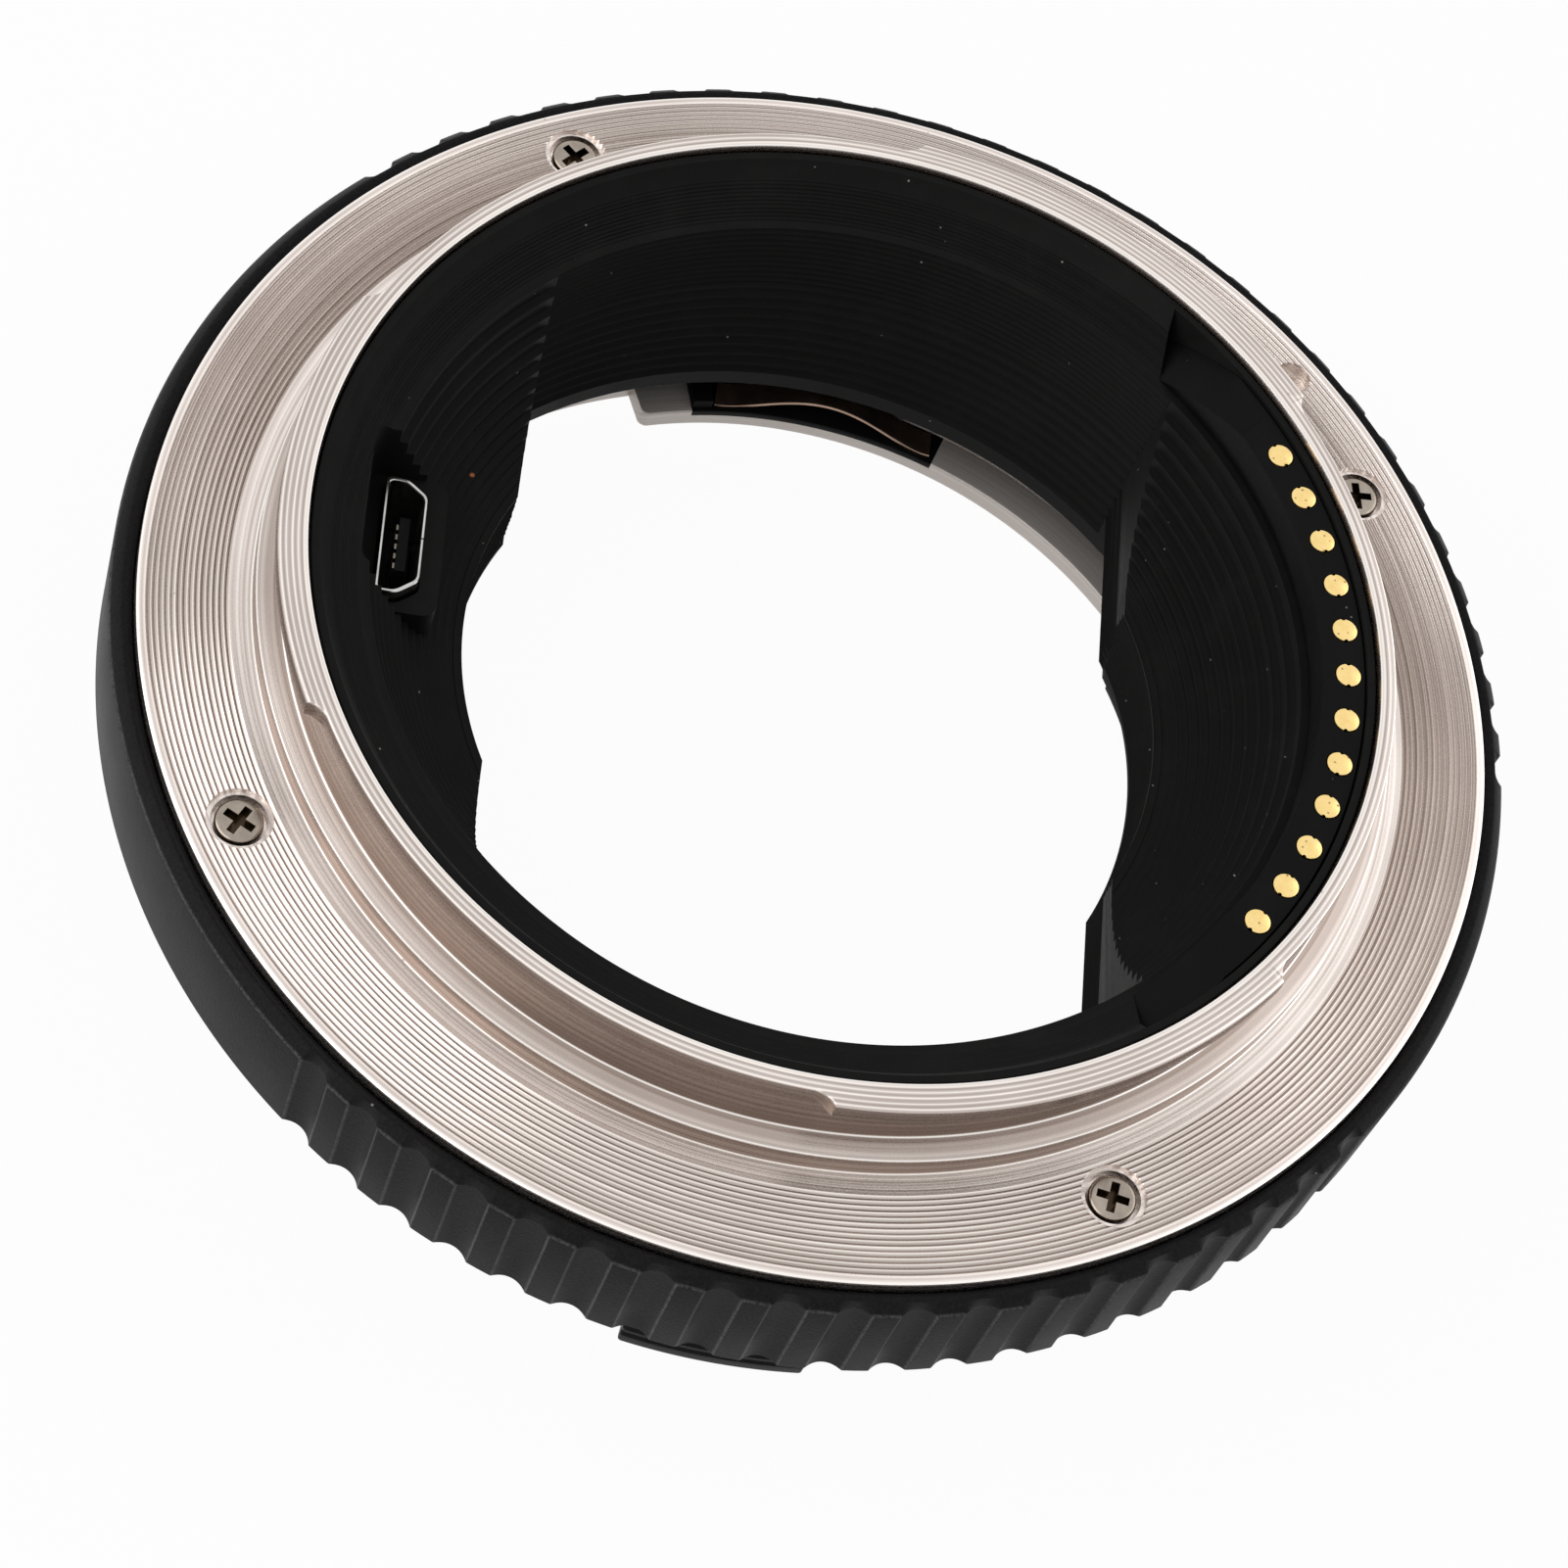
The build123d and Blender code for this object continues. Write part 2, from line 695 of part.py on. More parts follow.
# Contact block on the baffle's ledge, with its two sloping ends
contact_foot = block_face + contact_proud - contact_length
contact_angles = step_angles(contact_middle, contact_pitch, contact_count)
with BuildPart() as contact_block:
    with BuildSketch(Plane.XY.offset(ledge_height)):
        Circle(block_outer)
        Circle(block_inner, mode=Mode.SUBTRACT)
        with Locations((0, -block_foot)):
            Rectangle(beyond, beyond, align=(Align.CENTER, Align.MAX), mode=Mode.INTERSECT)
    extrude(amount=block_face - ledge_height)
    with BuildSketch(Plane.YZ):
        Polygon(
            (-block_end, block_face),
            (-block_foot, block_face - block_bevel_drop),
            (0, block_face - block_bevel_drop),
            (0, rim_top),
            (-block_end, rim_top),
            align=None,
        )
    extrude(amount=beyond, both=True, mode=Mode.SUBTRACT)
    with BuildSketch(Plane.XY.offset(contact_foot)):
        for angle in contact_angles:
            with PolarLocations(contact_circle, 1, start_angle=angle):
                Circle(contact_radius + contact_gap)
    extrude(amount=contact_length, mode=Mode.SUBTRACT)
keep(contact_block.part, "contact_block")

# Twelve gilt contacts, each notched on both sides
for index, angle in enumerate(contact_angles):
    with BuildPart() as camera_contact:
        with BuildSketch(Plane.XY.offset(contact_foot)):
            with PolarLocations(contact_circle, 1, start_angle=angle):
                Circle(contact_radius)
                with Locations((0, contact_radius), (0, -contact_radius)):
                    Circle(contact_notch, mode=Mode.SUBTRACT)
        extrude(amount=contact_length)
    keep(camera_contact.part, f"camera_contact_{index + 1}")

# Socket: folded sheet shell, moulded tongue and five contact strips, standing on the circuit board
with BuildPart() as usb_shell:
    with BuildSketch(Plane.XY.offset(board_top)):
        socket(0)
        socket(-socket_wall, mode=Mode.SUBTRACT)
    extrude(amount=socket_mouth - board_top)
keep(usb_shell.part, "usb_shell")

with BuildPart() as usb_insert:
    with BuildSketch(Plane.XY.offset(board_top)):
        socket(-socket_wall)
    extrude(amount=insert_height)
    with BuildSketch(Plane.XY.offset(board_top)):
        with Locations(socket_place):
            with Locations((-tongue_offset, 0)):
                Rectangle(tongue_thickness, tongue_width)
    extrude(amount=socket_mouth - tongue_recess - board_top)
keep(usb_insert.part, "usb_insert")

strip_offset = tongue_thickness / 2 + strip_thickness / 2 - tongue_offset
strip_foot = board_top + insert_height
for index in range(strip_count):
    with BuildPart() as usb_contact:
        with BuildSketch(Plane.XY.offset(strip_foot)):
            with Locations(socket_place):
                with Locations((strip_offset, (index - (strip_count - 1) / 2) * strip_pitch)):
                    Rectangle(strip_thickness, strip_width)
        extrude(amount=socket_mouth - tongue_recess - strip_recess - strip_foot)
    keep(usb_contact.part, f"usb_contact_{index + 1}")

# Circuit board: open ring on the barrel's shelf, with a tongue under the socket
with BuildPart() as circuit_board:
    with BuildSketch(Plane.XY.offset(board_shelf)):
        Circle(board_radius)
        Circle(board_inner, mode=Mode.SUBTRACT)
        with PolarLocations(socket_circle - board_tongue_inward, 1, start_angle=socket_angle):
            Rectangle(
                board_inner + board_tongue_root + board_tongue_inward - socket_circle,
                board_tongue_width,
                align=(Align.MIN, Align.CENTER),
            )
        with PolarLocations(screw_circle, screw_count, start_angle=screw_start):
            Circle(boss_radius + board_gap, mode=Mode.SUBTRACT)
        sector(
            board_inner / 2,
            beyond,
            release_angle - board_opening,
            2 * board_opening,
            mode=Mode.SUBTRACT,
        )
    extrude(amount=board_thickness)
keep(circuit_board.part, "circuit_board")

with BuildPart() as controller_chip:
    with BuildSketch(Plane.XY.offset(board_top)):
        with PolarLocations(chip_circle, 1, start_angle=chip_angle):
            Rectangle(chip_size, chip_size)
    extrude(amount=chip_height)
keep(controller_chip.part, "controller_chip")

# Lens-side bayonet ring: flat flange, collar and the three tabs that hold the lens
with BuildPart() as lens_mount_ring:
    with BuildSketch(Plane.XY):
        Circle(ring_radius)
        Circle(throat_gap_radius, mode=Mode.SUBTRACT)
        for centre in tab_centres:
            tab_root = throat_gap_radius + collar_wall / 2
            sector(tab_radius, tab_root, centre - tab_span / 2, tab_span)
        with PolarLocations(lock_pin_circle, 1, start_angle=release_angle):
            Circle(lock_pin_radius + lock_pin_clearance, mode=Mode.SUBTRACT)
    extrude(amount=lens_plate)
    with BuildSketch(Plane.XY.offset(lens_plate - seat_thickness)):
        for centre in tab_centres:
            seat_start = centre + seat_offset
            sector(tab_radius / 2, throat_gap_radius - seat_gap, seat_start, seat_span)
    extrude(amount=seat_thickness, mode=Mode.SUBTRACT)
    with BuildSketch(Plane.XY.offset(lens_plate)):
        Circle(collar_radius)
        Circle(throat_gap_radius, mode=Mode.SUBTRACT)
    extrude(amount=collar_top - lens_plate)
    with PolarLocations(ring_screw_circle, ring_screw_count, start_angle=ring_screw_start):
        Cylinder(
            shank_radius + thread_gap,
            lens_plate,
            align=(Align.CENTER, Align.CENTER, Align.MIN),
            mode=Mode.SUBTRACT,
        )
        Cone(
            ring_head_radius + ring_head_gap,
            shank_radius + thread_gap,
            ring_head_height,
            align=(Align.CENTER, Align.CENTER, Align.MIN),
            mode=Mode.SUBTRACT,
        )
    with BuildSketch(Plane.XY):
        with PolarLocations(mark_circle, 1, start_angle=mark_angle):
            Circle(mark_radius)
    extrude(amount=mark_depth, mode=Mode.SUBTRACT)
keep(lens_mount_ring.part, "lens_mount_ring")

# Countersunk screws of the lens-side ring
for index in range(ring_screw_count):
    ring_screw_angle = ring_screw_start + 360 / ring_screw_count * index
    with BuildPart() as lens_ring_screw:
        with PolarLocations(ring_screw_circle, 1, start_angle=ring_screw_angle):
            Cylinder(shank_radius, ring_screw_length, align=(Align.CENTER, Align.CENTER, Align.MIN))
            Cone(
                ring_head_radius,
                shank_radius,
                ring_head_height,
                align=(Align.CENTER, Align.CENTER, Align.MIN),
            )
            Box(
                cross_width,
                cross_span,
                ring_cross_depth,
                align=(Align.CENTER, Align.CENTER, Align.MIN),
                mode=Mode.SUBTRACT,
            )
            Box(
                cross_span,
                cross_width,
                ring_cross_depth,
                align=(Align.CENTER, Align.CENTER, Align.MIN),
                mode=Mode.SUBTRACT,
            )
    keep(lens_ring_screw.part, f"lens_ring_screw_{index + 1}")

# Red index bead for fitting the lens
with BuildPart() as index_mark:
    with BuildSketch(Plane.XY.offset(mark_sink)):
        with PolarLocations(mark_circle, 1, start_angle=mark_angle):
            Circle(mark_radius)
    extrude(amount=mark_depth - mark_sink)
    fillet(index_mark.edges().sort_by(Axis.Z)[0], mark_round)
keep(index_mark.part, "index_mark")

# Seats let into the tabs, each with a raised stop at one end
for index, centre in enumerate(tab_centres):
    seat_start = centre + seat_offset
    seat_outer = throat_gap_radius - 2 * seat_gap
    with BuildPart() as spring_seat:
        with BuildSketch(Plane.XY.offset(lens_plate - seat_thickness)):
            sector(tab_radius, seat_outer, seat_start, seat_span)
        extrude(amount=seat_thickness)
        with BuildSketch(Plane.XY.offset(lens_plate)):
            sector(tab_radius + stop_inset, seat_outer, seat_start + seat_span - stop_span, stop_span)
        extrude(amount=stop_height)
    keep(spring_seat.part, f"spring_seat_{index + 1}")

# Leaf springs: bowed strips that stand on the seats and pull the lens home
for index, centre in enumerate(tab_centres):
    leaf_angle = centre + leaf_offset
    outwards = Vector(cos(radians(leaf_angle)), sin(radians(leaf_angle)), 0)
    along = Vector(-sin(radians(leaf_angle)), cos(radians(leaf_angle)), 0)
    with BuildPart() as leaf_spring:
        with BuildSketch(Plane.XY.offset(lens_plate)):
            sector(leaf_inner, leaf_outer, centre - tab_span / 2, tab_span)
        extrude(amount=leaf_rise + leaf_thickness)
        with BuildSketch(Plane(origin=(0, 0, lens_plate), x_dir=along, z_dir=outwards)):
            with BuildLine():
                under = ThreePointArc((-leaf_length / 2, 0), (0, leaf_rise), (leaf_length / 2, 0))
                over = ThreePointArc(
                    (-leaf_length / 2, leaf_thickness),
                    (0, leaf_rise + leaf_thickness),
                    (leaf_length / 2, leaf_thickness),
                )
                Line(under @ 0, over @ 0)
                Line(under @ 1, over @ 1)
            make_face()
        extrude(amount=beyond, mode=Mode.INTERSECT)
    keep(leaf_spring.part, f"leaf_spring_{index + 1}")

# Lens contact block: hangs through the front liner and guides the spring-loaded pins
pin_angles = step_angles(pin_middle, pin_pitch, pin_count)
with BuildPart() as lens_contact_block:
    with BuildSketch(Plane.XY.offset(lens_block_face)):
        sector(
            lens_block_inner,
            lens_block_outer,
            pin_middle - lens_block_half_angle,
            2 * lens_block_half_angle,
        )
    extrude(amount=lens_block_height)
    with BuildSketch(Plane.XY.offset(barrel_floor)):
        sector(waist_inner, waist_outer, pin_middle - waist_half_angle, 2 * waist_half_angle)
    extrude(amount=lens_block_top - barrel_floor)
    with BuildSketch(Plane.XY.offset(lens_block_face)):
        for angle in pin_angles:
            with PolarLocations(pin_circle, 1, start_angle=angle):
                Circle(pin_radius + pin_clearance)
    extrude(amount=pin_guide, mode=Mode.SUBTRACT)
    with BuildSketch(Plane.XY.offset(pin_seat)):
        for angle in pin_angles:
            with PolarLocations(pin_circle, 1, start_angle=angle):
                Circle(pin_head_radius + pin_head_gap)
    extrude(amount=pin_chamber_top - pin_seat, mode=Mode.SUBTRACT)
keep(lens_contact_block.part, "lens_contact_block")

# Spring-loaded contact pins that press on the lens
pin_head_low = pin_seat + pin_clearance
for index, angle in enumerate(pin_angles):
    with BuildPart() as lens_contact_pin:
        with BuildSketch(Plane.XY.offset(pin_tip)):
            with PolarLocations(pin_circle, 1, start_angle=angle):
                Circle(pin_radius)
        extrude(amount=pin_head_low - pin_tip)
        fillet(lens_contact_pin.edges().sort_by(Axis.Z)[0], pin_tip_round)
        with BuildSketch(Plane.XY.offset(pin_head_low)):
            with PolarLocations(pin_circle, 1, start_angle=angle):
                Circle(pin_head_radius)
        extrude(amount=pin_head_height)
        with BuildSketch(Plane.XY.offset(pin_head_low)):
            with PolarLocations(pin_circle, 1, start_angle=angle):
                Circle(pin_tail_radius)
        extrude(amount=pin_top - pin_head_low)
    keep(lens_contact_pin.part, f"lens_contact_pin_{index + 1}")

# Release slide: grooved pad in the barrel's slot and the stem behind it
groove_low = pad_low + (pad_height - pad_grooves * pad_groove_pitch) / 2
pad_points = []
for index in range(pad_grooves):
    foot = groove_low + index * pad_groove_pitch
    pad_points += [
        (pad_radius, foot),
        (pad_radius - pad_groove_depth, foot + pad_groove_pitch / 2),
        (pad_radius, foot + pad_groove_pitch),
    ]

with BuildPart() as release_slide:
    with BuildSketch(Plane.XZ):
        Polygon(
            (pad_inner, pad_low),
            (pad_radius - pad_bevel, pad_low),
            *[point for number, point in enumerate(pad_points) if number % 3 or number == 0],
            (pad_radius - pad_bevel / 2, pad_top),
            (pad_inner, pad_top),
            align=None,
        )
    revolve(axis=Axis.Z)
    with BuildSketch(Plane.XY.offset(pad_low)):
        sector(pad_inner / 2, beyond, release_angle - pad_half_angle, 2 * pad_half_angle)
    extrude(amount=pad_height, mode=Mode.INTERSECT)
    with BuildSketch(Plane.XY.offset(pad_top)):
        sector(pad_inner, stem_outer, release_angle - stem_half_angle, 2 * stem_half_angle)
    extrude(amount=stem_height)
keep(release_slide.part, "release_slide")

# Bracket that joins the slide to the lock pin
bracket_length = stem_outer + bracket_margin - lock_pin_circle + bracket_inward
bracket_circle = lock_pin_circle - bracket_inward + bracket_length / 2
with BuildPart() as slide_bracket:
    with BuildSketch(Plane.XY.offset(bracket_low)):
        with PolarLocations(bracket_circle, 1, start_angle=release_angle):
            RectangleRounded(bracket_length, 2 * bracket_half_width, bracket_corner)
        with PolarLocations(lock_pin_circle, 1, start_angle=release_angle):
            Circle(lock_pin_radius + bracket_fit, mode=Mode.SUBTRACT)
    extrude(amount=bracket_thickness)
keep(slide_bracket.part, "slide_bracket")

# Lock pin that stands in the lens's flange until the slide lifts it
with BuildPart() as lock_pin:
    with BuildSketch(Plane.XY.offset(-lock_pin_reach)):
        with PolarLocations(lock_pin_circle, 1, start_angle=release_angle):
            Circle(lock_pin_radius)
    extrude(amount=lock_pin_reach + bracket_top + lock_pin_stub)
    chamfer(lock_pin.edges().sort_by(Axis.Z)[0], lock_pin_bevel)
    with BuildSketch(Plane.XY.offset(bracket_top)):
        with PolarLocations(lock_pin_circle, 1, start_angle=release_angle):
            Circle(lock_pin_radius + shoulder_width)
    extrude(amount=shoulder_height)
keep(lock_pin.part, "lock_pin")

# Coil spring round the lock pin, between the bracket and the baffle's flange
spring_low = bracket_top + spring_wire
spring_height = flange_under - bracket_top - 2 * spring_wire
lock_pin_x = lock_pin_circle * cos(radians(release_angle))
lock_pin_y = lock_pin_circle * sin(radians(release_angle))
with BuildPart() as lock_pin_spring:
    with BuildLine() as coil:
        Helix(
            spring_height / spring_turns,
            spring_height,
            spring_radius,
            center=(lock_pin_x, lock_pin_y, spring_low),
        )
    with BuildSketch(Plane(coil.line @ 0, z_dir=coil.line % 0)):
        Circle(spring_wire)
    sweep(is_frenet=True)
keep(lock_pin_spring.part, "lock_pin_spring")
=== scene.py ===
import json
import math

import bpy
import numpy as np
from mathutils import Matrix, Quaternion, Vector


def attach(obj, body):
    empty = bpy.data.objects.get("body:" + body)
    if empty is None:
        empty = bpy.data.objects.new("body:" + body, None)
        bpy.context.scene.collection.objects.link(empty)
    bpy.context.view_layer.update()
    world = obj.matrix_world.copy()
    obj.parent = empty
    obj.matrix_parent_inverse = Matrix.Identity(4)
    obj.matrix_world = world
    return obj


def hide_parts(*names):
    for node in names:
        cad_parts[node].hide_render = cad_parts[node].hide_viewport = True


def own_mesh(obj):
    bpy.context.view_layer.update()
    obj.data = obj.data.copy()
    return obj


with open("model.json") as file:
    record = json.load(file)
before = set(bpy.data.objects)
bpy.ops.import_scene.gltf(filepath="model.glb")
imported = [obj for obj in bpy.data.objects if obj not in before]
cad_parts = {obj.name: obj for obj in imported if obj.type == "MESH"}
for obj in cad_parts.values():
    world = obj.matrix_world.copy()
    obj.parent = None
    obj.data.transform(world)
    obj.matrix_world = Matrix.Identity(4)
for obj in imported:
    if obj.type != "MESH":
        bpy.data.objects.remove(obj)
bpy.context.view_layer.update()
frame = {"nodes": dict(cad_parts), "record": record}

# Lengths in this script are millimetres, and MM turns them into the scene's metres.
MM = 0.001

# Heights along the optical axis
lens_plate_top = 1.35
slot_foot = 3.0
floor_top = 4.7
liner_top = 5.9
bracket_foot = 7.3
window_floor = 7.6
bracket_top = 8.3
grip_foot = 8.85
room_step = 9.5
board_top = 10.5
dish_floor = 12.86
pocket_foot = 13.4
baffle_flange_under = 14.3
plate_under = 15.5
pocket_floor = 16.1
screw_seat = 16.3
room_top = 16.5
barrel_top = 16.85
socket_mouth = 17.0
camera_face = 17.3
pilot_top = 18.85
ledge = 20.6
lug_foot = 22.45
block_face = 23.1
baffle_top = 23.3
rim_top = 23.7

# Camera-side bayonet
rim_bore = 30.6
neck = 31.6
pilot = 32.95
land = 34.2
groove_pitch = 0.33
groove_count = 14
groove_depth = 0.12
plate_radius = 39.35
lug_radius = 32.35
lug_centres = np.array([91.0, 206.8, 332.0])
lug_span = 49.5
lug_cutter = 1.6
screw_circle = 36.2
screw_angles = (30.0, 120.0, 210.0, 300.0)
screw_hole = 0.81
screw_recess = 1.85
counterbore = 1.58
head_radius = 1.35
shank_radius = 0.75
cross_span = 1.85
cross_width = 0.48
lock_hole_circle = 37.4
lock_hole_angle = -46.4
lock_hole_radius = 1.1

# Barrel
barrel_radius = 40.75
plate_seat = 39.45
shoulder = 39.3
foot_radius = 35.4
foot_height = 0.9
ring_bore = 30.25
ring_seat = 33.35
room_radius = 37.9
boss_radius = 2.2
slot_half = 8.25
flute_radius = 1.35
flute_circle = 41.6
flute_pitch = 5.0
flute_middles = np.concatenate([141.5 + flute_pitch * np.arange(19), 271.5 + flute_pitch * np.arange(28)])

# Baffle
throat = 26.9
throat_outer = 28.6
skirt_bore = 29.2
funnel_mouth = 30.04
baffle_radius = 30.5
baffle_flange = 32.9
dish_radius = 20.5
dish_steps = 13
dish_bow = 1.9
wall = 1.3
window_half = 18.36
fine_ridges = 11
fine_pitch = 0.52
coarse_ridges = 9
window_ridges = 6
window_pitch = 0.6
ridge_depth = 0.3
socket_circle = 25.06
socket_angle = 85.3
socket_facing = 91.7
pocket_depth = 4.95
pocket_width = 9.1

copper_dot = (9.07, 21.31, 14.12)

# Contacts
block_inner = 27.4
block_outer = 29.95
block_end = 22.1
block_foot = 17.8
contact_circle = 28.925
contact_angles = 268.8 + 6.015 * (np.arange(12) - 5.5)
contact_radius = 0.76

# Lens side
gap_radius = 29.4
tab_radius = 27.0
tab_centres = np.array([104.5, 224.5, 344.5])
tab_half = 37.5
leaf_offset = 12.85
seat_start = -2.7
seat_end = 30.7
seat_low = 0.9
collar_radius = 30.15
collar_top = 4.5
ring_radius = 33.2
mark_circle = 31.3
mark_angle = 90.0
mark_radius = 0.85
mark_depth = 0.6
ring_screw_circle = 31.5
ring_screw_angles = (45.0, 135.0, 225.0, 315.0)
lock_pin_circle = 31.4
lock_pin_hole = 1.25
release_angle = 179.0
pin_circle = 24.7
pin_angles = 270.0 + 6.6 * (np.arange(8) - 3.5)

# Camera and floor
camera_place = (-137.595, 39.430, 223.375)
camera_aim = (-9.643, 1.968, 17.3)
camera_roll = 24.489
camera_lens = 101.19
floor_height = -1.3


# Meshes

def new_piece(name, points, faces):
    """Mesh object from points in millimetres and a list of faces."""
    mesh = bpy.data.meshes.new(name)
    mesh.from_pydata((np.asarray(points, float) * MM).tolist(), [], faces)
    mesh.update()
    piece = bpy.data.objects.new(name, mesh)
    bpy.context.scene.collection.objects.link(piece)
    return piece


def loft(name, points, closed=True):
    """Surface through closed loops: points[i, j] is point j of loop i.

    The row of loops closes on itself, or it ends in two flat caps."""
    around, across = points.shape[:2]
    i, j = np.meshgrid(np.arange(around if closed else around - 1), np.arange(across), indexing="ij")
    near, far, turn = i * across, (i + 1) % around * across, (j + 1) % across
    faces = np.stack([near + j, far + j, far + turn, near + turn], -1).reshape(-1, 4).tolist()
    if not closed:
        last = (around - 1) * across
        faces += [list(range(across)), list(range(last + across - 1, last - 1, -1))]
    return new_piece(name, points.reshape(-1, 3), faces)


def turned_ring(name, radii, heights, angles, closed=True):
    """Ring about the optical axis: point (i, j) has the angle a[i], the radius r[i, j], the height z[j].

    radii is one profile or one for each angle. The profile runs anticlockwise in the r, z plane."""
    angles = np.radians(np.asarray(angles, float))
    heights = np.asarray(heights, float)
    radii = np.broadcast_to(np.asarray(radii, float), (len(angles), len(heights)))
    x = radii * np.cos(angles)[:, None]
    y = radii * np.sin(angles)[:, None]
    return loft(name, np.stack([x, y, np.broadcast_to(heights, radii.shape)], -1), closed)


def plain_ring(name, profile, step=1.0):
    """Ring of one profile of radii and heights, all the way round."""
    return turned_ring(name, *np.array(profile).T, np.arange(0, 360, step))


def close_angles(close, step=1.0):
    """Angles all the way round at a step, with closer ones where they are needed."""
    return np.unique(np.round(np.concatenate([np.arange(0, 360, step), close.ravel() % 360]), 3))


def away_from(angles, middles):
    """Angle from each angle to the nearest middle."""
    return np.abs((angles[:, None] - middles[None, :] + 180) % 360 - 180).min(axis=1)


def cutter_corner(circle, radius, cutter):
    """Angle from a round cutter's centre on a circle to the point where its arc meets a radius."""
    return math.degrees(math.acos((circle**2 + radius**2 - cutter**2) / (2 * circle * radius)))


def cutter_reach(circle, cutter, off):
    """Radius of a round cutter's arc, r = c cos d - sqrt(k k - c c sin d sin d), at angles off its centre."""
    return circle * np.cos(off) - np.sqrt(np.maximum(cutter**2 - (circle * np.sin(off)) ** 2, 0))


def round_tip(radius, foot, ease=0.25):
    """Lower end of a pin's profile, with a quarter circle out to its radius."""
    t = np.linspace(0, np.pi / 2, 6)
    return [(0, foot)] + list(zip(radius - ease + ease * np.sin(t), foot + ease * (1 - np.cos(t))))


def turned_pin(name, profile, circle, angle, count=48):
    """Solid of revolution about an upright axis that stands on a circle at an angle.

    Point (i, j) lies at the turn 2 pi i / n about that axis and at point j of the profile, which starts
    and ends on the axis, where a single point closes the rings."""
    profile = np.asarray(profile, float)
    inner = profile[1:-1]
    across = len(inner)
    turn = np.linspace(0, 2 * np.pi, count, endpoint=False)
    x = inner[None, :, 0] * np.cos(turn)[:, None]
    y = inner[None, :, 0] * np.sin(turn)[:, None]
    points = np.stack([x, y, np.broadcast_to(inner[:, 1], x.shape)], -1).reshape(-1, 3)
    points = np.vstack([points, [[0, 0, profile[0, 1]], [0, 0, profile[-1, 1]]]])
    cos, sin = math.cos(math.radians(angle)), math.sin(math.radians(angle))
    points = points @ np.array([[cos, sin, 0], [-sin, cos, 0], [0, 0, 1]]) + [circle * cos, circle * sin, 0]
    i, j = np.meshgrid(np.arange(count), np.arange(across - 1), indexing="ij")
    near, far = i * across + j, (i + 1) % count * across + j
    faces = np.stack([near, far, far + 1, near + 1], -1).reshape(-1, 4).tolist()
    i = np.arange(count)
    near, far = i * across, (i + 1) % count * across
    foot, top = np.full(count, count * across), np.full(count, count * across + 1)
    faces += np.stack([foot, far, near], -1).tolist()
    faces += np.stack([top, near + across - 1, far + across - 1], -1).tolist()
    return new_piece(name, points, faces)


def prism(name, outline, low, high, lying=False):
    """Prism over an anticlockwise outline, between two heights. A lying one has its outline in y and z
    and its ends along X."""
    outline = np.asarray(outline, float)
    count = len(outline)
    points = np.vstack([np.column_stack([outline, np.full(count, end)]) for end in (low, high)])
    if lying:
        points = np.roll(points, 1, axis=1)
    i = np.arange(count)
    faces = np.stack([i, (i + 1) % count, (i + 1) % count + count, i + count], -1).tolist()
    return new_piece(name, points, faces + [i[::-1].tolist(), (i + count).tolist()])


def placed(outline, circle, angle, turn=0.0):
    """Outline moved to a circle's point, its x along the radius, and turned there."""
    along, own = math.radians(angle), math.radians(angle + turn)
    matrix = np.array([[math.cos(own), math.sin(own)], [-math.sin(own), math.cos(own)]])
    return np.asarray(outline, float) @ matrix + [circle * math.cos(along), circle * math.sin(along)]


def rounded(corners, radius, count=8):
    """Outline whose corners are parabolas: (1 - t)^2 A + 2 t (1 - t) C + t^2 B about each corner C."""
    corners = np.asarray(corners, float)
    back, on = np.roll(corners, 1, 0) - corners, np.roll(corners, -1, 0) - corners
    start = corners + radius * back / np.linalg.norm(back, axis=1)[:, None]
    end = corners + radius * on / np.linalg.norm(on, axis=1)[:, None]
    t = np.linspace(0, 1, count)[None, :, None]
    points = (1 - t) ** 2 * start[:, None] + 2 * t * (1 - t) * corners[:, None] + t**2 * end[:, None]
    return points.reshape(-1, 2)


def sector_outline(inner, outer, start, end, count=90):
    """Outline between two radii and two angles: the outer arc forwards and the inner one back."""
    arc = np.radians(np.linspace(start, end, count))
    rim = np.column_stack([np.cos(arc), np.sin(arc)])
    return np.vstack([outer * rim, inner * rim[::-1]])


def box_outline(depth, width):
    """Rectangle about the origin."""
    return np.array([(-depth, -width), (depth, -width), (depth, width), (-depth, width)]) / 2


def combine(piece, tools, operation="DIFFERENCE"):
    """Cuts, joins or intersects a piece with tools, which are used up."""
    for tool in tools:
        cut = piece.modifiers.new("cut", "BOOLEAN")
        cut.operation = operation
        cut.solver = "MANIFOLD"
        cut.object = tool
    apply_all(piece)
    for tool in tools:
        bpy.data.objects.remove(tool)
    return piece


def apply_all(piece):
    """Turns a piece's modifiers into its mesh."""
    bpy.context.view_layer.update()
    result = bpy.data.meshes.new_from_object(piece.evaluated_get(bpy.context.evaluated_depsgraph_get()))
    piece.modifiers.clear()
    piece.data = result
    return piece


def eased(piece, width=0.06):
    """Rounds a piece's sharp edges by a width in millimetres."""
    bevel = piece.modifiers.new("eased", "BEVEL")
    bevel.width = width * MM
    bevel.segments = 2
    bevel.limit_method = "ANGLE"
    bevel.angle_limit = math.radians(40)
    return apply_all(piece)


def hole(radius, low, high, circle, angle, bevel=0.0, count=64):
    """Cylinder that cuts a hole. With a bevel it widens by that much at the height high."""
    profile = [(0, low), (radius, low), (radius, high - bevel)]
    if bevel:
        profile.append((radius + 2 * bevel, high + bevel))
    return turned_pin("hole", profile + [(0, profile[-1][1])], circle, angle, count)


# Shaders

